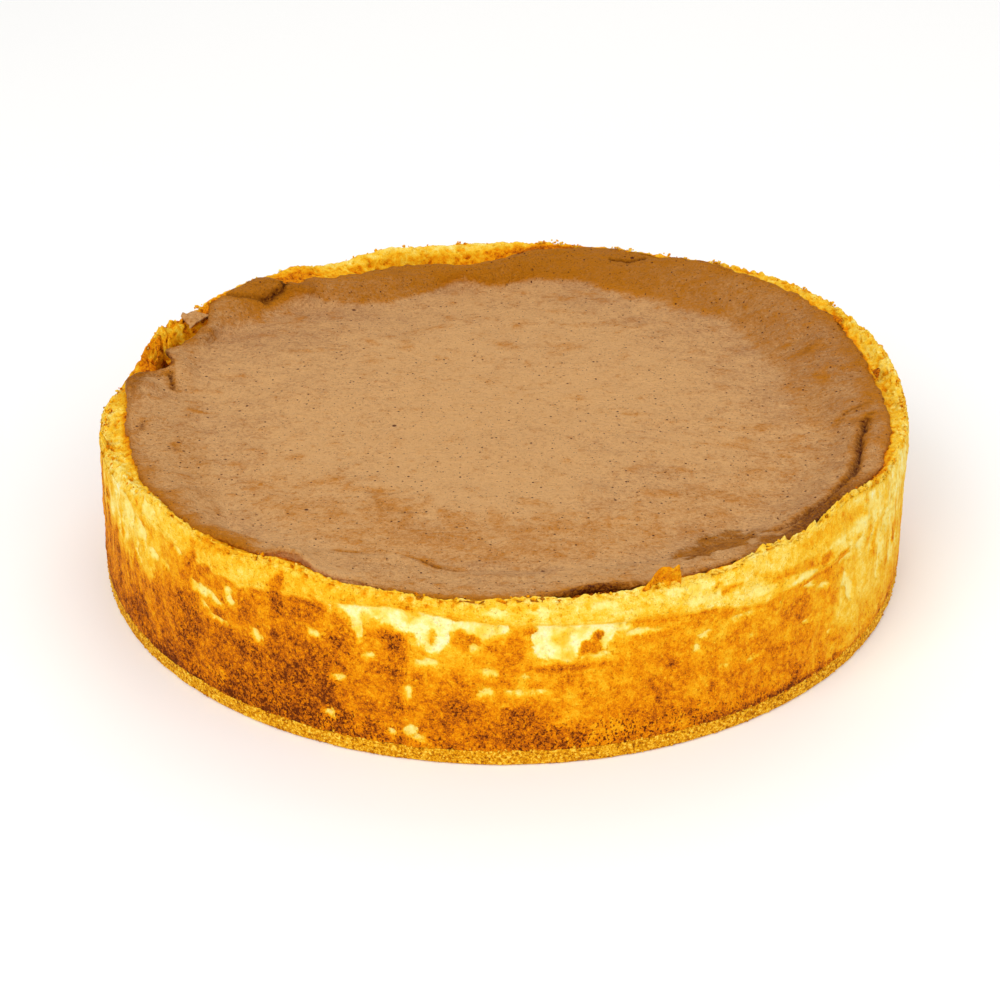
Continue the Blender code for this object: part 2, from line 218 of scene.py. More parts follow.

# Cracks in the skin: the points that each runs through (x, y), its half width, depth and darkness; the darkness is
# painted shade in the split
CRACKS = [
    ([(113, -19), (111.5, -27), (108.6, -34), (107.6, -41), (105.4, -49), (102.6, -57)], 1.25, 2.8, 1.0),
    ([(115.5, -16.5), (113, -19), (109, -17.5)], 0.5, 1.0, 0.9),
    ([(102.6, -57), (96, -66), (87, -76), (78, -84)], 1.2, 1.6, 0.9),
    ([(116, -8), (111, -11), (107, -13.5), (104, -18)], 0.4, 0.8, 0.75),
    ([(-46, -95), (-38, -97), (-30, -97), (-22, -100), (-18, -104.5), (-12, -105)], 1.1, 1.8, 1.0),
    ([(-12, -105), (0, -104.5), (12, -103.5)], 0.7, 0.5, 0.12),
    ([(-45, -57), (-37, -59), (-31, -61)], 0.6, 0.5, 0.30),
    ([(-38, -62), (-35, -68), (-29, -72), (-23, -72)], 0.4, 0.35, 0.30),
    # This one is the crease beside the fold at the back left, cut in and darkened as painted shadow
    ([(-72, 97), (-75, 90), (-78, 82), (-84, 75)], 1.1, 2.0, 0.95),
    ([(-84, 75), (-92, 73), (-98, 75)], 0.9, 1.2, 0.5),
    ([(-109, 17), (-108, 12), (-106.5, 8)], 0.7, 1.8, 0.95),
    ([(40, 110), (46, 108), (52, 109)], 0.9, 1.0, 0.75),
    ([(104, 36), (101, 32), (103, 29)], 0.7, 0.5, 0.35),
    ([(104, 17), (105, 12)], 0.7, 0.5, 0.35),
    ([(-101, -30), (-99.5, -33)], 0.5, 0.4, 0.6),
    ([(-113, -17), (-112, -22)], 0.5, 0.5, 0.6)]

# The torn rough patch in the skin: x, y, half length, half width; and its turn in degrees
TORN_PATCH = (60, -91, 15, 6.8)
TORN_PATCH_TURN = 34

# Torn flakes of cheese: angle, half width in degrees, radius, height, rise, lean, curl (degrees),
# skew, jaggedness and how baked they are
FLAKES = [
    (-70.6, 3.2, 125.0, 48.4, 9.7, -8, 52, 0.22, 0.35, 0.56),
    (-165.5, 2.0, 125.0, 45.2, 5.4, 8, 12, 0.2, 1.0, 0.42),
    (165.4, 2.8, 117.4, 43.6, 10.4, 2, -16, 0.3, 1.0, 0.66),
    (158.6, 1.7, 120.0, 45.6, 6.0, 4, 10, 0.2, 1.0, 0.56),
    (22.8, 2.0, 123.2, 54.0, 2.2, 30, 40, 0.0, 0.6, 0.76),
    (5.4, 2.2, 121.6, 51.4, 2.2, 24, 36, 0.0, 0.6, 0.76)]
# A loose flap of skin beside the hollow, measured in the same way; it has the skin's colours
SKIN_FLAP = (150.6, 3.4, 119.0, 49.6, 6.0, 62, 30, 0.2, 0.35)
FLAKE_THICKNESS = 0.8
FLAKE_GRID = (27, 13)

# Tufts of crumbs on the rim: angle and how many crumbs
TUFTS = [
    (-176, 16), (-172, 12), (-166, 16), (-164.6, 10), (-160, 10), (-152, 8), (-13, 8), (-4.2, 10), (-2.8, 14), (9.5, 8),
    (27, 7), (33, 9), (52, 10), (61, 6), (67.6, 16), (69, 10), (77, 7), (80.8, 13), (83.2, 16), (97, 6),
    (149, 10), (161, 10), (175, 8)]

# Folds that stand up from the skin: x, y, half length, half width, turn in degrees, and height
SKIN_FOLDS = [
    (-89, 83, 22, 11, 42, 1.1), (-116, 5, 15, 7, 94, 2.2), (114, -31, 15, 4, 78, 1.6), (-34, -102, 17, 3.6, 0, 1.3), (-33, -99.2, 11, 1.8, -4, 1.5),
    (98, -66, 14, 4, 56, 1.0), (-62, -99, 12, 5, -32, 1.0), (101, 42, 12, 5, 70, -1.2), (0, 60, 30, 9, 4, -0.5),
    (-95, -45, 26, 6, -66, -0.9), (66, -50, 12, 8, 0, 0.6)]

# Large pores in the skin: x, y and radius
PORES = [
    (-34, -15.5, 0.75), (-84, -4, 0.55), (-82, 0, 0.45), (-57, -69, 0.6), (11, -105, 0.6),
    (-53, 80, 0.8), (48, 110, 0.8), (-100, -28, 0.6), (-97.6, -33.4, 0.5), (-102, -33, 0.45),
    (-114, -20, 0.55), (-68, 26, 0.5), (20, 30, 0.4), (52, -12, 0.4), (-10, 50, 0.4),
    (74, 30, 0.4), (-40, 12, 0.4), (33, -64, 0.45), (84, -60, 0.4), (-98, 22, 0.5)]

# Orange dimples and smudges in the skin: x, y, half length, half width
DIMPLES = [
    (-27, 63, 2.6, 1.6), (40, 57, 1.8, 1.3), (41, -8, 3.4, 2.0), (71, -27, 8.0, 4.0),
    (87, -34, 3.0, 1.8), (82, -42, 2.6, 1.5), (46, -47, 2.4, 1.6), (-47, -35, 3.2, 1.6),
    (-37, -58, 9.0, 3.4), (104, 33, 8.0, 3.0), (105, 14, 3.0, 6.0), (-90, 22, 8.0, 3.0),
    (96, 40, 4.0, 2.0), (-30, -70, 7.0, 2.2), (20, -40, 3.0, 1.6), (-6, -86, 7.0, 2.0),
    (-66, 40, 6.0, 2.0), (-96, -6, 7.0, 1.6), (30, -78, 8.0, 2.0)]

# ---- Colours, as sRGB from 0 to 255 ----
TOAST_RAMP = [
    (0.00, (255, 244, 186)), (0.12, (253, 231, 132)), (0.25, (250, 210, 82)), (0.38, (245, 190, 40)),
    (0.50, (240, 165, 14)), (0.62, (229, 137, 2)), (0.74, (208, 113, 2)), (0.87, (168, 84, 10)),
    (1.00, (100, 42, 6))]
SKIN_LIGHT = (231, 175, 112)
# The dusky skin colour, greyer than the light one: the skin's own tone with painted sheen
SKIN_DUSKY = (178, 124, 80)
SKIN_ORANGE = (206, 125, 8)
SKIN_DARK = (90, 32, 4)
BISCUIT_COLOURS = [
    (0.10, (104, 52, 2)), (0.34, (196, 120, 4)), (0.60, (232, 166, 10)), (0.90, (251, 217, 84))]
FLOOR_COLOUR = (253, 252, 250)

random = np.random.default_rng(SEED)
SHUFFLED = random.permutation(256)
DIRECTIONS = random.normal(size=(256, 3))
DIRECTIONS /= np.linalg.norm(DIRECTIONS, axis=1)[:, None]


# ---- Numbers ----
def linear(colour):
    """Turn an sRGB colour from 0 to 255 into a linear colour with an alpha."""
    parts = []
    for value in colour:
        share = value / 255.0
        parts.append(share / 12.92 if share <= 0.04045 else ((share + 0.055) / 1.055) ** 2.4)
    return (*parts, 1.0)


def mix(start, end, share):
    """Return the value that lies a share of the way from start to end."""
    return start + (end - start) * share


def step_between(low, high, value):
    """Rise smoothly from 0 at low to 1 at high."""
    share = np.clip((value - low) / (high - low), 0.0, 1.0)
    return share * share * (3.0 - 2.0 * share)


def around(measure, angle):
    """Return a measure at each angle: its base value plus a rounded bump for each feature."""
    base, bumps = measure
    total = np.full(np.shape(angle), base, dtype=float)
    for centre, half_width, amount in bumps:
        distance = np.abs((angle - centre + 180.0) % 360.0 - 180.0)
        bump = amount * 0.5 * (1.0 + np.cos(np.pi * distance / half_width))
        total += np.where(distance < half_width, bump, 0.0)
    return total


def read_table(table, angle, column):
    """Read a column of a table at each angle, which its rows begin with."""
    rows = sorted(table)
    return np.interp(angle, [row[0] for row in rows], [row[column] for row in rows], period=360.0)


def smooth_noise(points):
    """Return smooth noise of about -1 to 1 at each point, with one cell to a unit."""
    cell = np.floor(points).astype(int)
    part = points - cell
    fade = part * part * part * (part * (part * 6.0 - 15.0) + 10.0)
    total = np.zeros(points.shape[:-1])
    for corner in range(8):
        offset = np.array([corner & 1, corner >> 1 & 1, corner >> 2 & 1])
        key = (cell + offset) & 255
        index = SHUFFLED[(SHUFFLED[(SHUFFLED[key[..., 0]] + key[..., 1]) & 255] + key[..., 2]) & 255]
        weight = np.prod(np.where(offset == 1, fade, 1.0 - fade), axis=-1)
        total += weight * np.einsum("...k,...k->...", DIRECTIONS[index], part - offset)
    return total * 1.6


def ring_noise(angle, size, octaves, shift):
    """Return noise along the cake's edge, at each angle."""
    turn = np.radians(angle)
    ring = np.stack([np.cos(turn), np.sin(turn), np.zeros_like(turn)], axis=-1)
    return rough_noise(ring * FOOT_RADIUS, size, octaves, shift)


def rough_noise(points, size, octaves=3, shift=0.0):
    """Return noise whose largest lumps measure size, with finer lumps on them."""
    total = np.zeros(points.shape[:-1])
    strength = 1.0
    for octave in range(octaves):
        total += strength * smooth_noise(points / size + shift + 17.3 * octave)
        size = size / 2.0
        strength *= 0.5
    return total


# ---- The cake's section ----
def measures_at(angle):
    """Return the measures of the cake at each angle: the model's own, and the finer unevenness."""
    cake = {"angle": angle}
    cake["rim_radius"] = around(RIM_RADIUS, angle) + 0.25 * ring_noise(angle, 12.0, 2, 31.0)
    cake["rim_height"] = (
        around(RIM_HEIGHT, angle) - around(RIM_DIP, angle) + 0.35 * ring_noise(angle, 15.0, 2, 33.0))
    edge_radius = around(SKIN_EDGE_RADIUS, angle) + around(EDGE_SHIFT, angle)
    edge_radius = edge_radius + 0.8 * ring_noise(angle, 14.0, 2, 35.0) + 0.45 * ring_noise(angle, 3.2, 3, 36.0)
    cake["edge_radius"] = np.minimum(edge_radius, cake["rim_radius"] - MIN_LEDGE_WIDTH)
    cake["edge_height"] = around(SKIN_EDGE_HEIGHT, angle) + 0.45 * ring_noise(angle, 20.0, 3, 37.0)
    cake["floor_radius"] = (
        around(FLOOR_RADIUS, angle) - around(BANK_REACH, angle) + 2.2 * ring_noise(angle, 24.0, 3, 39.0))
    cake["floor_height"] = around(FLOOR_HEIGHT, angle)
    cake["bank_radius"] = np.minimum(
        around(FLOOR_RADIUS, angle) + around(BANK_WIDTH, angle), cake["edge_radius"] - MIN_BERM_WIDTH)
    cake["bank_height"] = cake["edge_height"] - around(BANK_DROP, angle)
    cake["groove_radius"] = mix(cake["edge_radius"], cake["rim_radius"], GROOVE_SHARE)
    cake["groove_height"] = (
        mix(cake["edge_height"], cake["rim_height"], GROOVE_SHARE)
        - around(GROOVE_DEPTH, angle) - around(GROOVE_EXTRA, angle))
    cake["crest_radius"] = mix(cake["edge_radius"], cake["rim_radius"], CREST_SHARE)
    crease = read_table(CREASE_LINE, angle, 1) + 0.35 * ring_noise(angle, 9.0, 3, 1.5)
    cake["crease"] = np.minimum(crease, cake["rim_height"] - CREASE_ROOM)
    return cake


def wall_radius(rim_radius, share):
    """Return the wall's radius a share of the way down from the rim to the foot."""
    return mix(rim_radius, FOOT_RADIUS, share) + 4.0 * share * (1.0 - share) * WALL_BULGE


def rows_through(knots, counts, tension=0.36):
    """Return rows of (radius, height) on a smooth curve through the knots, so many to each stretch."""
    shape = np.broadcast_shapes(*[np.shape(number) for knot in knots for number in knot])
    points = [np.stack([np.broadcast_to(number, shape) for number in knot], axis=-1) for knot in knots]
    ends = [2.0 * points[0] - points[1]] + points + [2.0 * points[-1] - points[-2]]
    rows = []
    for stretch, count in enumerate(counts):
        before, start, end, after = ends[stretch:stretch + 4]
        leave = tension * (end - before)
        arrive = tension * (after - start)
        for step in range(count):
            t = step / count
            rows.append(
                start * (2 * t ** 3 - 3 * t ** 2 + 1) + leave * (t ** 3 - 2 * t ** 2 + t)
                + end * (3 * t ** 2 - 2 * t ** 3) + arrive * (t ** 3 - t ** 2))
    rows.append(points[-1])
    return np.stack(rows, axis=1)


def turned(rows, angle):
    """Turn rows of (radius, height) round Z to points at each angle."""
    turn = np.radians(angle)[:, None]
    return np.stack([rows[..., 0] * np.cos(turn), rows[..., 0] * np.sin(turn), rows[..., 1]], axis=-1)


def outward(points):
    """Return the unit normals of a grid of points, one row of angles by one of the section."""
    along = np.roll(points, -1, axis=0) - np.roll(points, 1, axis=0)
    down = np.gradient(points, axis=1)
    normal = np.cross(down, along)
    return normal / np.maximum(np.linalg.norm(normal, axis=-1), 1e-9)[..., None]


# ---- Meshes ----
def add_mesh(name, vertices, faces, material, values):
    """Make a mesh object from points in millimetres, with a number for each point by name."""
    mesh = bpy.data.meshes.new(name)
    mesh.from_pydata((np.asarray(vertices) * MM).tolist(), [], faces)
    for label, numbers in values.items():
        mesh.attributes.new(label, "FLOAT", "POINT").data.foreach_set("value", np.asarray(numbers, dtype=np.float32))
    mesh.materials.append(material)
    mesh.shade_smooth()
    made = bpy.data.objects.new(name, mesh)
    bpy.context.scene.collection.objects.link(made)
    return made


def ring_faces(steps, rows, looped):
    """Return the quads between the rows of a ring, and from its last row to its first if looped."""
    index = np.arange(steps * rows).reshape(steps, rows)
    beside = np.roll(index, -1, axis=0)
    if looped:
        below, beside_below = np.roll(index, -1, axis=1), np.roll(beside, -1, axis=1)
    else:
        index, below = index[:, :-1], index[:, 1:]
        beside, beside_below = beside[:, :-1], beside[:, 1:]
    return np.stack([index, below, beside_below, beside], axis=-1).reshape(-1, 4).tolist()


def ring_piece(name, points, hidden, material, values):
    """Make a closed ring: the shown rows of points, then hidden rows that lead back inside it."""
    shown_rows = points.shape[1]
    everything = np.concatenate([points, hidden], axis=1)
    rows = everything.shape[1]
    filled = {}
    for label, numbers in values.items():
        last = np.repeat(numbers[:, -1:], rows - shown_rows, axis=1)
        filled[label] = np.concatenate([numbers, last], axis=1).reshape(-1)
    faces = ring_faces(points.shape[0], rows, True)
    return add_mesh(name, everything.reshape(-1, 3), faces, material, filled)


def disc_piece(name, points, top_height, bottom_height, material, values):
    """Make a closed disc: rows of points from near the middle of its top to that of its underside."""
    steps, rows = points.shape[:2]
    vertices = np.concatenate([points.reshape(-1, 3), [[0, 0, top_height], [0, 0, bottom_height]]])
    faces = ring_faces(steps, rows, False)
    top, bottom = steps * rows, steps * rows + 1
    for step in range(steps):
        here, beside = step * rows, (step + 1) % steps * rows
        faces.append([top, here, beside])
        faces.append([bottom, beside + rows - 1, here + rows - 1])
    filled = {}
    for label, numbers in values.items():
        filled[label] = np.concatenate([numbers.reshape(-1), [numbers[:, 0].mean(), numbers[:, -1].mean()]])
    return add_mesh(name, vertices, faces, material, filled)


# ---- How baked each place is ----
def patch_mask(patches, angle, height, wobble, softness):
    """Return how far each place on the wall lies in one of the patches, whose edges wobble."""
    mask = np.zeros(np.broadcast(angle, height).shape)
    for centre, level, half_length, half_height in patches:
        length = np.radians((angle - centre + 180.0) % 360.0 - 180.0) * FOOT_RADIUS
        distance = np.sqrt((length / half_length) ** 2 + ((height - level) / half_height) ** 2)
        spread = softness / min(half_length, half_height)
        edge = distance + wobble / math.sqrt(half_length * half_height)
        mask = np.maximum(mask, 1.0 - step_between(1.0 - spread, 1.0 + spread, edge))
    return mask


def wall_base_toast(points, angle, crease):
    """Return how baked the crust of the wall is at each of its points, without its torn patches."""
    height = points[..., 2]
    lumps = rough_noise(points, 16.0, 3, 3.1)
    blotches = rough_noise(points, 6.0, 3, 5.5)
    speckles = rough_noise(points, 2.0, 2, 1.9)
    lean = 0.09 * (height - 26.0) * np.exp(-((angle[:, None] + 40.0) / 8.0) ** 2)
    swayed = angle[:, None] - lean + 1.1 * rough_noise(points, 5.0, 4, 20.2)
    low, middle, high, band = (read_table(WALL_TOAST, swayed, column) for column in (1, 2, 3, 4))
    foot, waist, shoulder = TOAST_HEIGHTS
    level = mix(low, middle, step_between(foot, waist, height + 4.0 * lumps))
    level = mix(level, high, step_between(waist + 2.0, shoulder, height + 5.0 * lumps))
    above = step_between(-0.2, 0.3, height - crease)
    level = mix(level, band, above)
    upright = around(UPRIGHT_STREAKS, angle)[:, None]
    streaks = rough_noise(points * (1.0, 1.0, 0.34), 3.4, 4, 8.7)
    level = level + 0.10 * lumps + (0.13 - 0.03 * above) * blotches + 0.10 * speckles
    level = level + 0.22 * upright * streaks * step_between(12.0, 26.0, height + 6.0 * lumps)
    level = level + around(FOOT_LINE, angle)[:, None] * np.exp(-((height - 5.4 - 0.6 * lumps) / 1.2) ** 2)
    porous = step_between(0.30, 0.75, rough_noise(points, 2.8, 2, 51.0))
    return level + 0.16 * above * porous - 0.10 * above * step_between(0.2, 0.9, blotches)


def wall_toast(points, angle, crease):
    """Return how baked the wall is, with painted shade in its crease, its torn patches and their own toast, and how
    pitted it is.
    """
    height = points[..., 2]
    angles = angle[:, None]
    level = wall_base_toast(points, angle, crease)
    blotches = rough_noise(points, 6.0, 3, 5.5)
    speckles = rough_noise(points, 2.0, 2, 1.9)
    wobble = 1.6 * rough_noise(points * (1.0, 1.0, 1.2), 5.0, 4, 6.1)
    dark = patch_mask(DARK_PATCHES, angles, height, 2.0 * wobble, 3.0)
    level = mix(level, DARK_LEVEL + 0.10 * speckles + 0.05 * blotches, 0.84 * dark)
    under = 1.0 - step_between(-0.3, 0.1, height - crease)
    tatters = rough_noise(points, 2.6, 3, 6.7)
    reach = read_table(BARE_CREAM, angles + 0.35 * wobble + 0.25 * tatters, 1) - 1.1 * wobble - 0.7 * tatters
    halo = step_between(-3.6, 0.4, height - reach) * under
    level = mix(level, np.minimum(level, 0.36 + 0.10 * speckles), 0.85 * halo)
    patch = step_between(-1.0, 1.0, height - reach) * under
    patch_level = CREAM_LEVEL + 0.30 * step_between(-0.3, 0.9, blotches) + 0.06 * speckles
    halo = patch_mask(CREAM_FLECKS, angles, height, 0.9 * wobble - 1.3, 1.8)
    level = mix(level, np.minimum(level, 0.42 + 0.10 * speckles), 0.6 * halo)
    streaks = rough_noise(points * (1.0, 1.0, 0.55), 4.2, 5, 8.7)
    pale = around(BLOTCHES, angle)[:, None] * step_between(0.0, 4.0, height - around(BLOTCH_FOOT, angle)[:, None])
    blotch = pale * step_between(-0.05, 0.65, streaks)
    ragged = 1.0 * wobble + 0.5 * tatters
    fleck = np.maximum(0.95 * patch_mask(CREAM_FLECKS, angles, height, ragged, 1.3), blotch)
    patch_level = np.where(fleck > patch, FLECK_LEVEL + 0.14 * np.maximum(blotches, 0.0), patch_level)
    patch = np.maximum(patch, fleck)
    for centre, place, half_length, half_height, toast in ORANGE_PATCHES:
        orange = patch_mask([(centre, place, half_length, half_height)], angles, height, ragged, 0.9)
        level = mix(level, toast + 0.10 * speckles, orange)
        patch = patch * (1.0 - orange)
    # Painted shade in the crease: a darker line along its groove under the lip, where the bare cream is also hidden
    crease_shade = np.exp(-((height - crease + 0.1) / 0.34) ** 2) * around(CREASE_STRENGTH, angle)[:, None]
    patch = patch * (1.0 - 0.8 * np.clip(crease_shade, 0.0, 1.0))
    level = mix(level, 0.66 + 0.1 * blotches, 0.8 * crease_shade)
    low = around(GRIT_LOW, angle)[:, None] * (1.0 - step_between(9.0, 15.0, height + 4.0 * blotches))
    grit = np.clip(np.maximum(low, 0.55 * dark) + 0.2 * blotches, 0.0, 1.0)
    values = {"toast": level, "patch": patch, "patch_toast": patch_level, "grit": grit}
    return {label: np.clip(numbers, 0.0, 1.0) for label, numbers in values.items()}


def rim_toast(points, angle, share):
    """Return how baked the rim is, with its painted shade, from beside the skin (share 0) to its outer edge (share 1).
    """
    inner, groove, crest = (read_table(RIM_TOAST, angle, column)[:, None] for column in (1, 2, 3))
    lumps = rough_noise(points, 7.0, 3, 4.4)
    place = share + 0.10 * lumps
    level = mix(inner, groove, step_between(0.10, 0.34, place))
    level = mix(level, crest, step_between(0.48, 0.80, place))
    pits = step_between(0.20, 0.70, rough_noise(points, 2.0, 2, 13.0))
    level = level + 0.13 * lumps + 0.14 * rough_noise(points, 2.2, 3, 9.3) + 0.20 * pits
    return np.clip(level, 0.0, 1.0)


# ---- The wall and the torn rim ----
RIM_STRETCHES = (3, 9, 13, 14, 12, 8)
WALL_STRETCHES = (12, 6, 52, 8)


def side_rows(cake):
    """Return the rows from under the skin's edge, over the groove and the crest, down to the foot."""
    edge_radius, edge_height = cake["edge_radius"], cake["edge_height"]
    groove_radius, groove_height = cake["groove_radius"], cake["groove_height"]
    rim_radius, top = cake["rim_radius"], cake["rim_height"] - CREST_DROP
    crest_radius = cake["crest_radius"]
    foot = BASE_THICKNESS - 0.3 + 0.5 * ring_noise(cake["angle"], 3.0, 3, 55.0)
    knots = [
        (edge_radius - 1.6, edge_height - 3.4),
        (edge_radius - 0.3, np.minimum(edge_height - 1.2, groove_height + 0.6)),
        (groove_radius, groove_height),
        (mix(groove_radius, crest_radius, 0.55), mix(groove_height, cake["rim_height"], 0.7)),
        (crest_radius, cake["rim_height"]),
        (rim_radius - 0.35, top + 0.55),
        (rim_radius, top),
        (wall_radius(rim_radius, 0.2), cake["crease"] + 1.0),
        (wall_radius(rim_radius, 0.24), cake["crease"] - 1.0),
        (wall_radius(rim_radius, 0.93), mix(foot, cake["crease"], 0.07)),
        (FOOT_RADIUS, foot)]
    return rows_through(knots, RIM_STRETCHES + WALL_STRETCHES)


def rim_share(rim_rows):
    """Return each rim row's share of the way out, from beside the skin to the outer edge."""
    edges = np.cumsum((0,) + RIM_STRETCHES)
    shares = (0.0, 0.05, GROOVE_SHARE, 0.62, CREST_SHARE, 0.95, 1.0)
    return np.interp(np.arange(rim_rows), edges, shares)[None, :]


def roughen_rim(points, angle, share):
    """Give the torn rim its jagged crest, pits and crumbly lumps."""
    normal = outward(points)
    jag = around(RIM_JAG, angle)[:, None]
    crest = np.exp(-((share - 0.88) / 0.16) ** 2)
    ring = points * (1.0, 1.0, 0.0)
    ragged = step_between(-0.3, 0.5, rough_noise(ring, 8.0, 2, 19.0))
    teeth = 0.8 * rough_noise(ring, 4.6, 4, 11.0) + ragged * (0.8 - 2.0 * np.abs(rough_noise(ring, 3.0, 3, 15.0)))
    lumps = rough_noise(points, 6.0, 2, 2.8)
    crumb = rough_noise(points, 1.5, 2, 7.7)
    pits = step_between(0.20, 0.70, rough_noise(points, 2.0, 2, 13.0))
    torn = step_between(0.02, 0.3, share)
    points = points + normal * ((0.40 * lumps + 0.34 * crumb - 0.80 * pits) * torn)[..., None]
    points[..., 2] += jag * crest * 0.85 * teeth
    return points


def roughen_wall(points, angle, crease, values):
    """Give the wall its crease, its raised crust and its grain."""
    normal = outward(points)
    height = points[..., 2]
    strength = around(CREASE_STRENGTH, angle)[:, None]
    over = height - crease
    lip = strength * step_between(-0.25, 0.25, over) * np.exp(-np.maximum(over, 0.0) / 5.0)
    cut = strength * np.exp(-((over + 0.3) / 0.5) ** 2)
    bare = step_between(0.35, 0.65, values["patch"]) * (1.0 - step_between(0.25, 0.4, values["patch_toast"]))
    bare = bare * (1.0 - step_between(-0.5, 0.5, over))
    browned = step_between(0.60, 0.85, values["toast"])
    lumps = rough_noise(points, 11.0, 2, 0.6)
    crumb = rough_noise(points, 2.6, 2, 4.9)
    grain = rough_noise(points, 1.3, 1, 5.2)
    relief = (
        0.75 * lip - CREASE_DEPTH * cut - 0.55 * bare + 0.42 + 0.40 * lumps
        + (0.18 + 0.06 * browned) * crumb + (0.12 + 0.16 * browned + 0.10 * values["grit"]) * grain)
    inside_foot = step_between(4.6, 5.8, height)
    return points + normal * ((relief - 0.35) * inside_foot)[..., None]


def make_side(material):
    """Make the wall and the torn rim, two closed rings that share one edge."""
    angle = np.arange(STEPS_AROUND) * 360.0 / STEPS_AROUND - 180.0
    cake = measures_at(angle)
    points = turned(side_rows(cake), angle)
    rim_rows = sum(RIM_STRETCHES) + 1
    crease = cake["crease"][:, None]
    share = np.concatenate([rim_share(rim_rows), np.ones((1, sum(WALL_STRETCHES)))], axis=1)
    values = wall_toast(points, angle, crease)
    below = step_between(0.0, 2.0, cake["rim_height"][:, None] - CREST_DROP - points[..., 2])
    below = np.where(share < 0.9, 0.0, below)
    values["toast"] = mix(rim_toast(points, angle, share), values["toast"], below)
    values["patch"] = values["patch"] * step_between(0.35, 0.55, share)
    walled = roughen_wall(points, angle, crease, values)
    rimmed = roughen_rim(points, angle, share)
    points = mix(rimmed, walled, below[..., None])
    deep = np.minimum(cake["groove_height"], cake["edge_height"]) - 4.0
    rim_hidden = turned(np.stack([
        np.stack([cake["rim_radius"] - 1.0, deep], axis=-1),
        np.stack([cake["edge_radius"] - 1.6, deep], axis=-1)], axis=1), angle)
    wall_hidden = turned(np.stack([
        np.stack([np.full_like(deep, FOOT_RADIUS - 6.0), np.full_like(deep, BASE_THICKNESS + GAP)], axis=-1),
        np.stack([np.full_like(deep, FOOT_RADIUS - 9.0), deep], axis=-1)], axis=1), angle)
    on_rim = {label: numbers[:, :rim_rows] for label, numbers in values.items()}
    on_wall = {label: numbers[:, rim_rows - 1:] for label, numbers in values.items()}
    rim = ring_piece("torn_rim", points[:, :rim_rows], rim_hidden, material, on_rim)
    wall = ring_piece("baked_wall", points[:, rim_rows - 1:], wall_hidden, material, on_wall)
    return rim, wall


# ---- The browned skin ----
SKIN_STRETCHES = (24, 28, 15, 18, 3, 3, 2, 2, 1)


def skin_rows(cake):
    """Return the rows from near the middle of the skin, over its edge, to the middle underneath."""
    angle = cake["angle"]
    edge_radius, edge_height = cake["edge_radius"], cake["edge_height"]
    floor_radius, floor_height = cake["floor_radius"], cake["floor_height"]
    bank_radius, bank_height = cake["bank_radius"], cake["bank_height"]
    roll = around(ROLL, angle)
    lift = around(EDGE_LIFT, angle)
    near_middle = floor_radius * 0.01
    inner = floor_radius * 0.62
    inner_height = mix(FLOOR_MIDDLE_HEIGHT, floor_height, 0.62 ** 2)
    knots = [
        (near_middle, FLOOR_MIDDLE_HEIGHT),
        (inner, inner_height),
        (floor_radius, floor_height),
        (bank_radius, bank_height + 0.5 * roll),
        (edge_radius, edge_height + lift),
        (edge_radius + 0.55, edge_height + lift - 0.6),
        (edge_radius - 0.1, edge_height - 1.5),
        (edge_radius - 3.0, edge_height - 3.0),
        (floor_radius - 12.0, floor_height - 5.0),
        (near_middle, FLOOR_MIDDLE_HEIGHT - 8.0)]
    rows = rows_through(knots, SKIN_STRETCHES)
    start, count = SKIN_STRETCHES[0] + SKIN_STRETCHES[1], SKIN_STRETCHES[2]
    top = rows[:, start + count, 1].copy()
    for step in range(count):
        share = step / count
        eased = share * share * (3.0 - 2.0 * share)
        risen = mix(eased, math.sin(0.5 * math.pi * share) ** 1.15, roll)
        rows[:, start + step, 0] = mix(floor_radius, bank_radius, share)
        rows[:, start + step, 1] = mix(floor_height, top, risen)
    return rows


def crack_masks(points):
    """Return how deep the cracks are at each point of the skin, how dark their painted shade is, and how near they are.
    """
    place = points[..., :2] + 0.5 * np.stack([
        rough_noise(points, 3.5, 2, 1.2), rough_noise(points, 3.5, 2, 6.6)], axis=-1)
    depth = np.zeros(points.shape[:-1])
    dark = np.zeros(points.shape[:-1])
    near = np.zeros(points.shape[:-1])
    for route, half_width, deep, darkness in CRACKS:
        for start, end in zip(route[:-1], route[1:]):
            start, end = np.array(start), np.array(end)
            run = end - start
            share = np.clip(((place - start) @ run) / (run @ run), 0.0, 1.0)
            distance = np.linalg.norm(place - start - share[..., None] * run, axis=-1)
            cut = 1.0 - step_between(0.15 * half_width, 1.25 * half_width, distance)
            depth = np.maximum(depth, deep * cut)
            dark = np.maximum(dark, darkness * (1.0 - step_between(0.3 * half_width, 1.3 * half_width, distance)))
            near = np.maximum(near, darkness * (1.0 - step_between(half_width, half_width + 2.5, distance)))
    return {"depth": depth, "dark": dark, "near_crack": near}


def turned_offset(points, x, y, degrees):
    """Return how far each point is from a place, along and across a direction seen from above."""
    turn = math.radians(degrees)
    right, back = points[..., 0] - x, points[..., 1] - y
    return right * math.cos(turn) + back * math.sin(turn), back * math.cos(turn) - right * math.sin(turn)


def dimple_mask(points):
    """Return how far each point lies in one of the orange dimples."""
    wobble = 0.35 * rough_noise(points, 3.0, 3, 3.7)
    mask = np.zeros(points.shape[:-1])
    for x, y, half_length, half_width in DIMPLES:
        distance = np.hypot((points[..., 0] - x) / half_length, (points[..., 1] - y) / half_width)
        mask = np.maximum(mask, 1.0 - step_between(0.0, 1.3, distance + wobble))
    return mask


def torn_patch(points):
    """Return how far each point lies in the torn rough patch at the front right of the skin."""
    wobble = 0.5 * rough_noise(points, 5.0, 3, 12.1)
    along, across = turned_offset(points, TORN_PATCH[0], TORN_PATCH[1], TORN_PATCH_TURN)
    distance = np.hypot(along / TORN_PATCH[2], across / TORN_PATCH[3])
    return 1.0 - step_between(0.85, 1.1, distance + wobble)


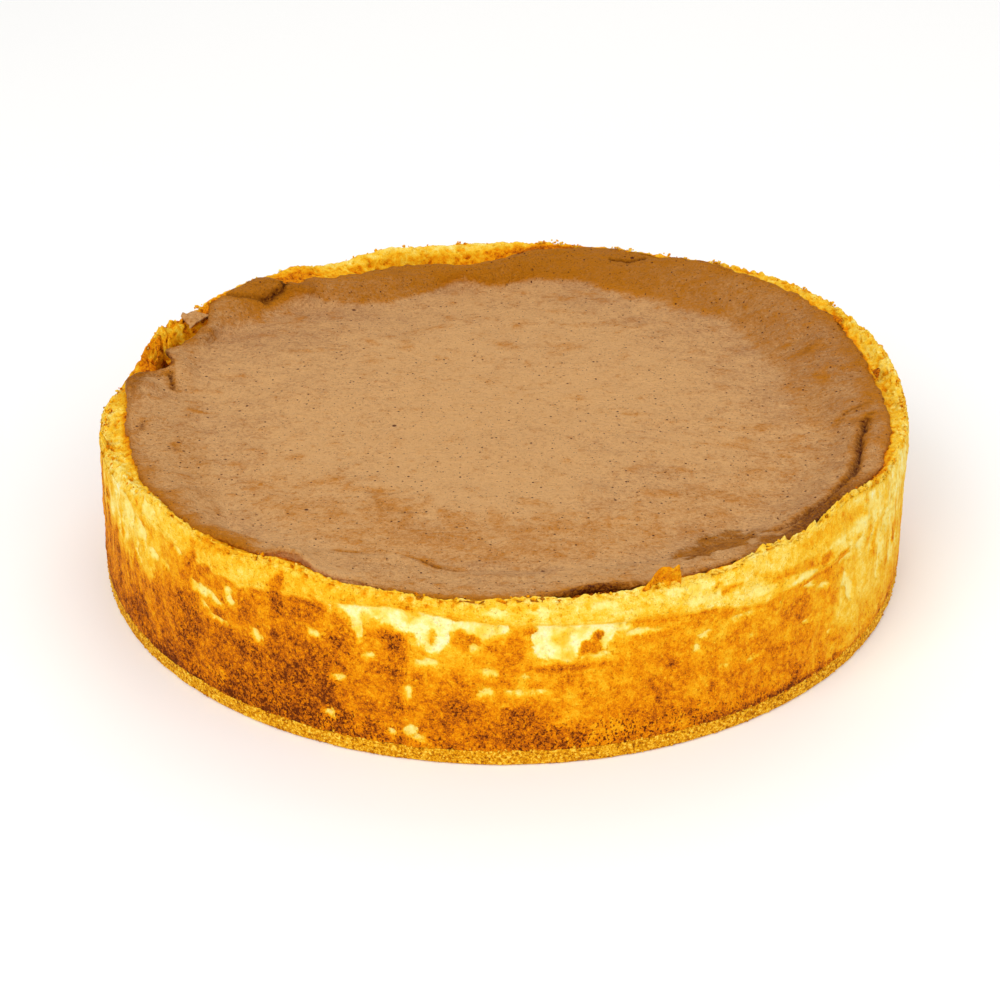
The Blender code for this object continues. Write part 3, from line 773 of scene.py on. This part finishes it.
def skin_relief(points, banked, masks):
    """Return how far the skin stands out: its swells, folds, wrinkles and dents."""
    warped = points + 3.0 * np.stack([
        rough_noise(points, 22.0, 2, 41.0), rough_noise(points, 22.0, 2, 43.0),
        np.zeros(points.shape[:-1])], axis=-1)
    waves = rough_noise(points, 30.0, 2, 2.0)
    folds = 1.0 - 2.0 * np.abs(rough_noise(warped * (0.75, 1.15, 1.0), 26.0, 2, 45.0))
    wrinkles = rough_noise(warped * (0.85, 1.15, 1.0), 8.0, 4, 5.0)
    fine = rough_noise(points, 3.0, 2, 7.0)
    relief = (
        0.45 * waves + 0.35 * folds + (0.26 + 0.24 * banked) * wrinkles + (0.13 + 0.16 * banked) * fine)
    for x, y, half_length, half_width, turn, rise in SKIN_FOLDS:
        along, across = turned_offset(points, x, y, turn)
        distance = np.hypot(along / half_length, across / half_width) + 0.15 * wrinkles
        relief = relief + rise * (1.0 - step_between(0.0, 1.0, distance))
    relief = relief - 0.30 * masks["dimples"] - masks["depth"]
    relief = relief + masks["torn"] * (0.45 * rough_noise(points, 3.0, 3, 47.0) - 0.5)
    return relief, waves, folds, wrinkles, fine


def skin_colours(angle, points, before_edge, banked, masks, noises):
    """Return how dusky, orange, dark and granular the skin is at each of its points, with its painted light and shade.
    """
    waves, folds, wrinkles, fine = noises
    radius = np.hypot(points[..., 0], points[..., 1])
    pale = around(EDGE_PALE_AND_LIT, angle)[:, None]
    dusky = 0.06 + around(DUSK_AND_SHEEN, angle)[:, None] * step_between(
        48.0, 114.0, radius + 10.0 * rough_noise(points, 40.0, 2, 9.0))
    # Painted light: the skin is made less dusky near its front edge
    dusky = dusky * (1.0 - 0.8 * around(FRONT_LIGHT_AND_WARMTH, angle)[:, None] * step_between(84.0, 104.0, radius))
    dusky = dusky + 0.15 * wrinkles + 0.14 * waves - 0.10 * (folds - 0.5)
    ring = step_between(62.0, 86.0, radius + 8.0 * wrinkles)
    ring = ring * (1.0 - step_between(97.0, 106.0, radius + 5.0 * wrinkles))
    warm = (
        around(FRONT_LIGHT_AND_WARMTH, angle)[:, None] * ring * (0.8 + 0.5 * wrinkles)
        + 0.36 * masks["dimples"] + 0.22 * step_between(0.1, 0.9, wrinkles + 0.5 * fine))
    orange = (
        around(BANK_ORANGE, angle)[:, None] * step_between(-0.1, 0.7, banked + 0.25 * wrinkles)
        + np.minimum(warm, 0.42) + 0.75 * masks["torn"])
    orange = orange + 0.5 * masks["near_crack"]
    band = step_between(0.25, 0.60, 1.0 - before_edge / 7.5 + 0.16 * wrinkles + 0.10 * fine)
    face = step_between(-0.8, 0.4, -before_edge)
    near_edge = step_between(0.0, 1.0, 1.0 - before_edge / 2.2 + 0.3 * fine)
    wide_edge = step_between(0.0, 1.0, 1.0 - before_edge / 9.0 + 0.4 * wrinkles)
    orange = orange + around(SKIN_EDGE_ORANGE, angle)[:, None] * (0.5 * near_edge + 0.5 * wide_edge)
    # The band inside the edge: real browning, with painted shade below the crest at the front right
    brown_and_shaded_band = around(EDGE_BAND_AND_SHADE, angle)[:, None] * band
    # Painted shade: the face past the skin's edge is made browner and darker, as shade under its lip
    orange = orange + 0.8 * brown_and_shaded_band + 0.3 * around(EDGE_FACE_SHADE, angle)[:, None] * face
    dark = np.maximum(masks["dark"], 0.72 * brown_and_shaded_band)
    dark = np.maximum(dark, 0.85 * around(EDGE_FACE_SHADE, angle)[:, None] * face)
    dark = dark + 0.45 * masks["torn"] * (0.6 + fine)
    # The pale lip: its own paler colour, and painted light on its shaded face past the edge
    pale = pale * step_between(0.0, 1.0, 1.0 - before_edge / 6.0)
    grit = np.clip(0.25 + 0.9 * banked * around(BANK_ORANGE, angle)[:, None] + band * around(EDGE_BAND_AND_SHADE, angle)[:, None]
                   + masks["torn"], 0.0, 1.0)
    return {
        "dusky": np.clip(dusky - pale, -0.5, 1.2), "orange": np.clip(orange * (1.0 - pale), 0.0, 1.0),
        "dark": np.clip(dark * (1.0 - pale), 0.0, 1.0), "grit": grit}


def make_skin(material):
    """Make the browned skin: the sunken floor, the banks, the ragged edge and its cracks."""
    angle = np.arange(SKIN_STEPS_AROUND) * 360.0 / SKIN_STEPS_AROUND - 180.0
    cake = measures_at(angle)
    rows = skin_rows(cake)
    points = turned(rows, angle)
    normal = outward(points)
    radius = rows[..., 0]
    upper = np.where(np.arange(points.shape[1]) <= sum(SKIN_STRETCHES[:6]), 1.0, 0.0)[None, :]
    past_edge = np.where(np.arange(points.shape[1]) > sum(SKIN_STRETCHES[:4]), 1.0, 0.0)[None, :]
    before_edge = cake["edge_radius"][:, None] - radius
    before_edge = mix(before_edge, np.minimum(before_edge, -0.6), past_edge)
    bank_start = mix(9.0, 3.0, np.clip(around(ROLL, angle), 0.0, 1.0))[:, None]
    banked = step_between(0.0, 1.0, (radius - cake["floor_radius"][:, None]) / bank_start) * upper
    masks = crack_masks(points)
    masks.update({"dimples": dimple_mask(points), "torn": torn_patch(points) * upper})
    relief, *noises = skin_relief(points, banked, masks)
    middle = step_between(2.0, 20.0, radius)
    values = skin_colours(angle, points, before_edge, banked, masks, noises)
    values["flat"] = step_between(0.45, 0.80, np.abs(normal[..., 2]))
    points = points + normal * (relief * upper * middle)[..., None]
    return disc_piece(
        "browned_skin", points, FLOOR_MIDDLE_HEIGHT, FLOOR_MIDDLE_HEIGHT - 8.0, material, values)


# ---- The biscuit base ----
def make_base(material):
    """Make the biscuit base, a disc with a crumbly side."""
    angle = np.arange(BASE_STEPS_AROUND) * 360.0 / BASE_STEPS_AROUND - 180.0
    radius = np.full_like(angle, BASE_RADIUS) + 0.2 * ring_noise(angle, 9.0, 2, 61.0)
    flat = np.zeros_like(angle)
    top = BASE_THICKNESS + 0.5 * ring_noise(angle, 4.0, 3, 63.0)
    knots = [
        (flat + 2.0, flat + BASE_THICKNESS - 0.2),
        (radius - 8.0, flat + BASE_THICKNESS - 0.2),
        (radius - 4.0, flat + BASE_THICKNESS - 0.2),
        (radius - 2.2, top),
        (radius - 1.35, top - 0.15),
        (radius - 0.95, top - 0.65),
        (radius - 0.85, flat + 0.5 * BASE_THICKNESS),
        (radius - 0.95, flat + 0.45),
        (radius - 1.35, flat),
        (radius - 4.0, flat),
        (radius - 8.0, flat),
        (flat + 2.0, flat)]
    points = turned(rows_through(knots, (1, 1, 2, 4, 5, 5, 6, 4, 1, 1, 1), 0.3), angle)
    side = step_between(BASE_RADIUS - 2.0, BASE_RADIUS - 1.2, np.hypot(points[..., 0], points[..., 1]))
    side = side * step_between(0.0, 0.4, points[..., 2])
    lumps = rough_noise(points, 2.2, 2, 3.3)
    grain = rough_noise(points, 1.1, 2, 4.1)
    swell = 1.0 + side * (0.14 * lumps + 0.20 * grain) / BASE_RADIUS
    points = points * np.stack([swell, swell, np.ones_like(swell)], axis=-1)
    crumbliness = np.clip(0.5 + 0.40 * grain + 0.25 * lumps, 0.0, 1.0)
    return disc_piece("biscuit_disc", points, BASE_THICKNESS, 0.0, material, {"crumb": crumbliness})


# ---- Torn flakes ----
def flake_middle(angle, half_width, radius, height, rise, lean, curl, skew, jag):
    """Return the middle of a torn flake that stands up and curls over, as a grid of points."""
    columns, rows = FLAKE_GRID
    across = np.linspace(-1.0, 1.0, columns)[:, None]
    up = np.linspace(0.0, 1.0, rows)[None, :]
    turn = np.radians(angle + half_width * (across * (1.0 - 0.3 * up) + skew * up))
    stand = np.stack([
        radius * np.cos(turn), radius * np.sin(turn), np.broadcast_to(height + rise * up, turn.shape)], axis=-1)
    turn = turn + np.radians(half_width) * 0.45 * jag * rough_noise(stand, 3.2, 3, 75.0)
    teeth = rough_noise(stand * (1.0, 1.0, 0.15), 2.4, 3, 71.0)
    outline = (1.0 - np.abs(across) ** 2.4) ** 0.7 * (1.0 + skew * across) * (1.0 + 0.8 * jag * teeth)
    step = rise * np.clip(outline, 0.12, 1.6) / (rows - 1)
    tilt = np.radians(lean + curl * up ** 1.5 + 22.0 * rough_noise(stand, 3.5, 2, 73.0))
    out = radius + np.cumsum(step * np.sin(tilt), axis=1)
    top = height + np.cumsum(step * np.cos(tilt), axis=1)
    return np.stack([out * np.cos(turn), out * np.sin(turn), top], axis=-1)


def closed_sheet(middle):
    """Return the points and faces of a thin closed sheet round a grid of points."""
    columns, rows = middle.shape[:2]
    normal = np.cross(np.gradient(middle, axis=0), np.gradient(middle, axis=1))
    normal = normal / np.maximum(np.linalg.norm(normal, axis=-1), 1e-9)[..., None]
    from_side = 1.0 - np.abs(np.linspace(-1.0, 1.0, columns)) ** 4
    thin = 0.5 * FLAKE_THICKNESS * (0.25 + 0.75 * from_side[:, None] * np.linspace(1.0, 0.3, rows)[None, :])
    bumps = 0.12 * rough_noise(middle, 1.6, 2, 77.0)
    outer = middle + normal * (thin + bumps)[..., None]
    inner = middle - normal * (thin - bumps)[..., None]
    index = np.arange(columns * rows).reshape(columns, rows)
    quads = np.stack([index[:-1, :-1], index[1:, :-1], index[1:, 1:], index[:-1, 1:]], axis=-1).reshape(-1, 4)
    border = np.concatenate([index[:-1, 0], index[-1, :-1], index[:0:-1, -1], index[0, :0:-1]])
    beside = np.roll(border, -1)
    count = columns * rows
    sides = np.stack([border, border + count, beside + count, beside], axis=-1)
    faces = np.concatenate([quads, quads[:, ::-1] + count, sides])
    return np.concatenate([outer.reshape(-1, 3), inner.reshape(-1, 3)]), faces


def make_flakes(material):
    """Make the torn flakes of cheese that stand on the rim and hang on the wall."""
    vertices, faces, toasts = [], [], []
    for *shape, toast in FLAKES:
        points, quads = closed_sheet(flake_middle(*shape))
        faces.append(quads + sum(len(part) for part in vertices))
        vertices.append(points)
        toasts.append(toast + 0.14 * rough_noise(points, 3.0, 3, 79.0))
    toasts = np.clip(np.concatenate(toasts), 0.0, 1.0)
    none = np.zeros_like(toasts)
    return add_mesh(
        "torn_flakes", np.concatenate(vertices), np.concatenate(faces).tolist(), material,
        {"toast": toasts, "patch": none, "patch_toast": none, "grit": none + 0.2})


def make_skin_flap(material):
    """Make the loose flap of skin beside the hollow."""
    points, faces = closed_sheet(flake_middle(*SKIN_FLAP))
    none = np.zeros(len(points))
    values = {
        "dusky": none + 0.1, "orange": none + 0.3, "dark": none + 0.05, "grit": none + 0.3, "flat": none}
    return add_mesh("skin_flap", points, faces.tolist(), material, values)


# ---- Crumbs ----
def lump_shapes(count):
    """Return a few rough lumps about one unit in radius, and the faces that they share."""
    builder = bmesh.new()
    bmesh.ops.create_icosphere(builder, subdivisions=2, radius=1.0)
    ball = np.array([vertex.co[:] for vertex in builder.verts])
    faces = np.array([[vertex.index for vertex in face.verts] for face in builder.faces])
    builder.free()
    shapes = []
    for number in range(count):
        bumps = 0.45 * rough_noise(ball + 5.0 * number, 0.9, 2, 1.0)
        shapes.append(ball * (1.0 + bumps)[:, None] * random.uniform(0.65, 1.1, 3))
    return shapes, faces


def any_turn():
    """Return a random rotation."""
    matrix, _ = np.linalg.qr(random.normal(size=(3, 3)))
    return matrix if np.linalg.det(matrix) > 0.0 else -matrix


def crumb_piece(name, places, sizes, values, material):
    """Join rough lumps at the places into one mesh, with a number for each lump by name."""
    shapes, faces = lump_shapes(10)
    vertices, joined = [], []
    for number, (place, size) in enumerate(zip(places, sizes)):
        shape = shapes[random.integers(len(shapes))]
        vertices.append(shape @ any_turn().T * size + place)
        joined.append(faces + number * len(shape))
    filled = {label: np.repeat(numbers, len(shapes[0])) for label, numbers in values.items()}
    return add_mesh(name, np.concatenate(vertices), np.concatenate(joined).tolist(), material, filled)


def make_rim_crumbs(material):
    """Scatter crumbs along the crest of the rim, with tufts that stand up here and there."""
    angle = random.uniform(-180.0, 180.0, 2000)
    thick = around((0.16, [(38, 42, 0.42), (2, 24, 0.26), (-172, 26, 0.5), (-70, 50, -0.12)]), angle)
    angle = angle[random.random(len(angle)) < thick]
    out = random.uniform(-1.2, 0.4, len(angle))
    up = random.uniform(-0.4, 0.3, len(angle))
    size = 0.24 + 0.50 * random.random(len(angle)) ** 3
    for centre, count in TUFTS:
        share = random.random(count)
        angle = np.append(angle, centre + random.normal(0.0, 0.5, count) + random.normal(0.0, 0.5) * share)
        out = np.append(out, random.normal(-0.7, 0.6, count) + random.normal(0.2, 0.5) * share)
        up = np.append(up, random.uniform(0.9, 1.9) * share)
        size = np.append(size, random.uniform(0.24, 0.58, count))
    cake = measures_at(angle)
    radius = cake["rim_radius"] + out - 0.5 - 0.3 * size
    height = cake["rim_height"] - 0.4 + up - 2.4 * np.maximum(out, 0.0) + 0.4 * size
    turn = np.radians(angle)
    places = np.stack([radius * np.cos(turn), radius * np.sin(turn), height], axis=-1)
    toast = np.clip(random.normal(0.42, 0.13, len(angle)), 0.12, 0.85)
    none = np.zeros_like(toast)
    values = {"toast": toast, "patch": none, "patch_toast": none, "grit": none + 0.2}
    return crumb_piece("rim_crumbs", places, size, values, material)


def make_base_crumbs(material):
    """Stick fine crumbs to the side of the base."""
    turn = random.uniform(-math.pi, math.pi, 2300)
    size = 0.22 + 0.26 * random.random(len(turn)) ** 2
    height = np.maximum(0.25 + (BASE_THICKNESS + 0.1) * random.beta(1.2, 1.3, len(turn)), size)
    radius = BASE_RADIUS - 0.95
    places = np.stack([radius * np.cos(turn), radius * np.sin(turn), height], axis=-1)
    return crumb_piece("base_crumbs", places, size, {"crumb": random.uniform(0.2, 1.0, len(turn))}, material)


# ---- Materials ----
class Nodes:
    """A material's node tree, with short ways to add and join nodes."""

    def __init__(self, name):
        self.material = bpy.data.materials.new(name)
        self.material.use_nodes = True
        self.tree = self.material.node_tree
        self.shader = self.tree.nodes["Principled BSDF"]

    def join(self, source, target):
        """Set a socket from a number, a colour or another node's output."""
        if isinstance(source, bpy.types.NodeSocket):
            self.tree.links.new(source, target)
        else:
            target.default_value = source

    def value(self, name):
        """Return a number that the mesh holds."""
        node = self.tree.nodes.new("ShaderNodeAttribute")
        node.attribute_name = name
        return node.outputs["Fac"]

    def place(self):
        """Return the place on the object."""
        return self.tree.nodes.new("ShaderNodeTexCoord").outputs["Object"]

    def stretch(self, vector, scale):
        """Stretch a place."""
        node = self.tree.nodes.new("ShaderNodeMapping")
        node.inputs["Scale"].default_value = scale
        self.join(vector, node.inputs["Vector"])
        return node.outputs["Vector"]

    def noise(self, vector, size, detail=2.0, roughness=0.55):
        """Return noise from 0 to 1 with lumps of a size in millimetres."""
        node = self.tree.nodes.new("ShaderNodeTexNoise")
        node.inputs["Scale"].default_value = 1.0 / (size * MM)
        node.inputs["Detail"].default_value = detail
        node.inputs["Roughness"].default_value = roughness
        self.join(vector, node.inputs["Vector"])
        return node.outputs["Fac"]

    def cells(self, vector, size, dimensions="2D"):
        """Return how far the nearest cell's middle is and that cell's random colour."""
        node = self.tree.nodes.new("ShaderNodeTexVoronoi")
        node.voronoi_dimensions = dimensions
        node.inputs["Scale"].default_value = 1.0 / (size * MM)
        self.join(vector, node.inputs["Vector"])
        return node.outputs["Distance"], node.outputs["Color"]

    def math(self, operation, first, second=0.0, third=0.0):
        """Return the result of a sum."""
        node = self.tree.nodes.new("ShaderNodeMath")
        node.operation = operation
        for socket, source in zip(node.inputs, (first, second, third)):
            self.join(source, socket)
        return node.outputs[0]

    def remap(self, source, low, high, new_low=0.0, new_high=1.0):
        """Return a number moved smoothly from one range to another and held there."""
        node = self.tree.nodes.new("ShaderNodeMapRange")
        node.interpolation_type = "SMOOTHSTEP"
        for label, number in zip(("Value", "From Min", "From Max", "To Min", "To Max"),
                                 (source, low, high, new_low, new_high)):
            self.join(number, node.inputs[label])
        return node.outputs["Result"]

    def blend(self, share, first, second):
        """Return a colour a share of the way from the first to the second."""
        node = self.tree.nodes.new("ShaderNodeMix")
        node.data_type = "RGBA"
        self.join(share, node.inputs["Factor"])
        self.join(first, node.inputs[6])
        self.join(second, node.inputs[7])
        return node.outputs[2]

    def ramp(self, source, stops):
        """Return the colour that a ramp of stops gives a number."""
        node = self.tree.nodes.new("ShaderNodeValToRGB")
        elements = node.color_ramp.elements
        elements.remove(elements[1])
        elements[0].position = stops[0][0]
        elements[0].color = linear(stops[0][1])
        for position, colour in stops[1:]:
            elements.new(position).color = linear(colour)
        self.join(source, node.inputs["Fac"])
        return node.outputs["Color"]

    def bump(self, height, depth):
        """Return normals bumped by a height, with the depth in millimetres."""
        node = self.tree.nodes.new("ShaderNodeBump")
        node.inputs["Distance"].default_value = depth * MM
        node.inputs["Strength"].default_value = 1.0
        self.join(height, node.inputs["Height"])
        return node.outputs["Normal"]


def crumb_material():
    """The baked cheese of the wall and the rim: cream to dark caramel by its toast, with grain."""
    nodes = Nodes("baked_cheese")
    place = nodes.place()
    toast = nodes.value("toast")
    grit = nodes.value("grit")
    speckle = nodes.noise(place, 1.15, 4.0, 0.72)
    fine = nodes.noise(place, 0.42, 2.0, 0.6)
    granules, _ = nodes.cells(place, 1.35, "3D")
    browned = nodes.remap(toast, 0.45, 0.80)
    spread = nodes.math("MULTIPLY_ADD", browned, 0.36, 0.44)
    grain = nodes.math("MULTIPLY", nodes.math("SUBTRACT", speckle, 0.5), spread)
    fleck = nodes.math("MULTIPLY", nodes.math("SUBTRACT", fine, 0.5), nodes.math("MULTIPLY", spread, 0.9))
    seams = nodes.math(
        "MULTIPLY", nodes.math("SUBTRACT", granules, 0.46), nodes.math("MULTIPLY_ADD", browned, 0.20, 0.05))
    dots = nodes.noise(nodes.stretch(place, (1.0, 1.0, 0.75)), 0.66, 1.0, 0.5)
    least = nodes.math("MULTIPLY_ADD", grit, -0.12, 0.665)
    pits = nodes.remap(nodes.math("SUBTRACT", dots, least), 0.0, 0.045)
    pitted = nodes.math("MULTIPLY", pits, nodes.math("MULTIPLY_ADD", grit, 0.34, 0.10))
    level = nodes.math("ADD", nodes.math("ADD", toast, nodes.math("ADD", grain, seams)), nodes.math("ADD", fleck, pitted))
    ragged = nodes.math("MULTIPLY_ADD", nodes.math("SUBTRACT", nodes.noise(place, 1.9, 5.0, 0.66), 0.5), 1.3,
                        nodes.value("patch"))
    torn = nodes.remap(ragged, 0.22, 0.88)
    smooth = nodes.math("MULTIPLY_ADD", nodes.math("SUBTRACT", speckle, 0.5), 0.34, nodes.value("patch_toast"))
    level = nodes.math("ADD", level, nodes.math("MULTIPLY", torn, nodes.math("SUBTRACT", smooth, level)))
    nodes.join(nodes.ramp(level, TOAST_RAMP), nodes.shader.inputs["Base Color"])
    nodes.join(nodes.remap(toast, 0.0, 0.7, 0.50, 0.70), nodes.shader.inputs["Roughness"])
    height = nodes.math("ADD", speckle, nodes.math("MULTIPLY", fine, 0.5))
    height = nodes.math("SUBTRACT", height, nodes.math("MULTIPLY", pits, 0.6))
    height = nodes.math("SUBTRACT", height, nodes.math("MULTIPLY", torn, 0.35))
    nodes.join(nodes.bump(height, 0.42), nodes.shader.inputs["Normal"])
    nodes.shader.inputs["Specular IOR Level"].default_value = 0.04
    return nodes.material


def skin_material():
    """The browned skin: light caramel, dusky to the edge with some painted sheen, orange on the banks, with dark pores
    and the painted shade that the mesh marks.
    """
    nodes = Nodes("browned_skin")
    place = nodes.place()
    grit = nodes.value("grit")
    patchy = nodes.noise(place, 7.0, 5.0, 0.62)
    leather = nodes.noise(nodes.stretch(place, (0.9, 1.1, 1.0)), 2.6, 5.0, 0.70)
    grain = nodes.noise(place, 1.0, 3.0, 0.70)
    uneven = nodes.math("MULTIPLY_ADD", nodes.math("SUBTRACT", patchy, 0.5), 0.55,
                        nodes.math("MULTIPLY", nodes.math("SUBTRACT", grain, 0.5), 1.5))
    uneven = nodes.math("MULTIPLY_ADD", nodes.math("SUBTRACT", leather, 0.5), 0.95, uneven)
    dusky = nodes.math("ADD", nodes.value("dusky"), uneven)
    colour = nodes.blend(nodes.remap(dusky, -0.05, 1.05), linear(SKIN_LIGHT), linear(SKIN_DUSKY))
    warm = nodes.math("ADD", nodes.value("orange"), nodes.remap(leather, 0.46, 0.72, 0.0, 0.36))
    warm = nodes.math("ADD", warm, nodes.math("MULTIPLY", nodes.math("SUBTRACT", grain, 0.5), 0.9))
    colour = nodes.blend(nodes.remap(warm, 0.0, 1.05), colour, linear(SKIN_ORANGE))
    dark = nodes.value("dark")
    dark = nodes.math("MULTIPLY_ADD", dark, nodes.math("MULTIPLY", nodes.math("SUBTRACT", grain, 0.55), 3.4), dark)
    rusty = nodes.remap(nodes.math("MULTIPLY_ADD", grit, 0.05, nodes.noise(place, 0.7, 1.0, 0.5)), 0.66, 0.74)
    dark = nodes.math("MAXIMUM", dark, nodes.math("MULTIPLY", rusty, nodes.math("MULTIPLY_ADD", grit, 0.25, 0.06)))
    for size, least, widest, strength in ((3.1, 0.50, 0.115, 1.0), (1.5, 0.46, 0.16, 0.62)):
        distance, choice = nodes.cells(place, size)
        radius = nodes.remap(choice, least, 0.95, 0.0, widest)
        soft = nodes.math("SUBTRACT", radius, distance)
        pore = nodes.math("MULTIPLY", nodes.remap(soft, -0.03, 0.03), nodes.value("flat"))
        dark = nodes.math("MAXIMUM", dark, nodes.math("MULTIPLY", pore, strength))
    for x, y, pore_radius in PORES:
        dark = nodes.math("MAXIMUM", dark, large_pore(nodes, place, x, y, pore_radius))
    nodes.join(nodes.blend(dark, colour, linear(SKIN_DARK)), nodes.shader.inputs["Base Color"])
    height = nodes.math("ADD", nodes.math("MULTIPLY", leather, 2.8), nodes.math("MULTIPLY", grain, 1.2))
    height = nodes.math("MULTIPLY", height, nodes.math("MULTIPLY_ADD", grit, 0.8, 0.8))
    height = nodes.math("SUBTRACT", height, nodes.math("MULTIPLY", dark, 0.25))
    nodes.join(nodes.bump(height, 0.85), nodes.shader.inputs["Normal"])
    nodes.join(nodes.remap(patchy, 0.3, 0.7, 0.48, 0.60), nodes.shader.inputs["Roughness"])
    nodes.shader.inputs["Specular IOR Level"].default_value = 0.12
    return nodes.material


def large_pore(nodes, place, x, y, radius):
    """Return how far each place lies in a large pore."""
    split = nodes.tree.nodes.new("ShaderNodeSeparateXYZ")
    nodes.join(place, split.inputs[0])
    across = nodes.math("SUBTRACT", split.outputs["X"], x * MM)
    along = nodes.math("SUBTRACT", split.outputs["Y"], y * MM)
    square = nodes.math("ADD", nodes.math("MULTIPLY", across, across), nodes.math("MULTIPLY", along, along))
    distance = nodes.math("SQRT", square)
    return nodes.remap(distance, 0.6 * radius * MM, 1.2 * radius * MM, 0.95, 0.0)


def biscuit_material():
    """The biscuit: gold crumbs with darker gaps and a few bright grains."""
    nodes = Nodes("biscuit_crumb")
    place = nodes.place()
    fine = nodes.noise(place, 0.75, 4.0, 0.75)
    level = nodes.math("MULTIPLY_ADD", nodes.value("crumb"), 0.45, nodes.math("MULTIPLY", fine, 2.4))
    level = nodes.math("SUBTRACT", level, 0.92)
    nodes.join(nodes.ramp(level, BISCUIT_COLOURS), nodes.shader.inputs["Base Color"])
    nodes.join(nodes.remap(fine, 0.3, 0.7, 0.55, 0.8), nodes.shader.inputs["Roughness"])
    nodes.join(nodes.bump(fine, 0.25), nodes.shader.inputs["Normal"])
    nodes.shader.inputs["Specular IOR Level"].default_value = 0.06
    return nodes.material


# ---- The scene ----
def make_floor():
    """Make the plain pale floor."""
    bpy.ops.mesh.primitive_plane_add(size=30.0, location=(0.0, 0.0, -0.0002))
    floor = bpy.context.object
    floor.name = "floor"
    pale = Nodes("pale_floor")
    pale.shader.inputs["Base Color"].default_value = linear(FLOOR_COLOUR)
    pale.shader.inputs["Roughness"].default_value = 0.6
    pale.shader.inputs["Specular IOR Level"].default_value = 0.1
    floor.data.materials.append(pale.material)
    return floor


def make_light(name, place, size, power):
    """Add a square lamp that points at the cake."""
    data = bpy.data.lights.new(name, "AREA")
    data.size = size
    data.energy = power
    lamp = bpy.data.objects.new(name, data)
    lamp.location = place
    away = np.array(place) - (0.0, 0.0, 0.03)
    lamp.rotation_euler = (
        math.atan2(math.hypot(away[0], away[1]), away[2]), 0.0, math.atan2(away[0], -away[1]))
    bpy.context.scene.collection.objects.link(lamp)


def make_camera():
    """Set the camera to look down on the cake from the front."""
    data = bpy.data.cameras.new("camera")
    data.lens = 70.77
    data.sensor_width = 36.0
    data.clip_start = 0.01
    camera = bpy.data.objects.new("camera", data)
    camera.location = (-0.00077, -0.56542, 0.32975)
    camera.rotation_euler = (math.radians(60.6054), 0.0, 0.0)
    bpy.context.scene.collection.objects.link(camera)
    bpy.context.scene.camera = camera


def make_world():
    """Set a soft white surrounding and plain colours."""
    world = bpy.data.worlds.new("studio")
    world.use_nodes = True
    world.node_tree.nodes["Background"].inputs["Color"].default_value = (1.0, 1.0, 1.0, 1.0)
    world.node_tree.nodes["Background"].inputs["Strength"].default_value = 0.55
    bpy.context.scene.world = world
    bpy.context.scene.view_settings.view_transform = "Standard"


def dress(piece, node):
    """Let a piece stand for a node of the model: hang it on the root and hide the node's own mesh."""
    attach(piece, "root")
    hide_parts(node)


def main():
    """Build the looks of the cake."""
    crumb = crumb_material()
    biscuit = biscuit_material()
    browned = skin_material()
    rim, wall = make_side(crumb)
    skin = make_skin(browned)
    for piece in (rim, wall, skin, make_flakes(crumb), make_skin_flap(browned), make_rim_crumbs(crumb)):
        dress(piece, "cheese_filling")
    for piece in (make_base(biscuit), make_base_crumbs(biscuit)):
        dress(piece, "biscuit_base")
    make_floor()
    make_light("key_light", (-0.9, -1.1, 1.5), 1.2, 17.5)
    make_light("front_light", (0.0, -2.0, 0.55), 1.6, 7.6)
    make_light("fill_light", (1.1, -0.9, 1.2), 1.4, 8.0)
    make_light("back_light", (0.2, 1.2, 1.4), 1.2, 7.0)
    make_world()
    make_camera()


main()
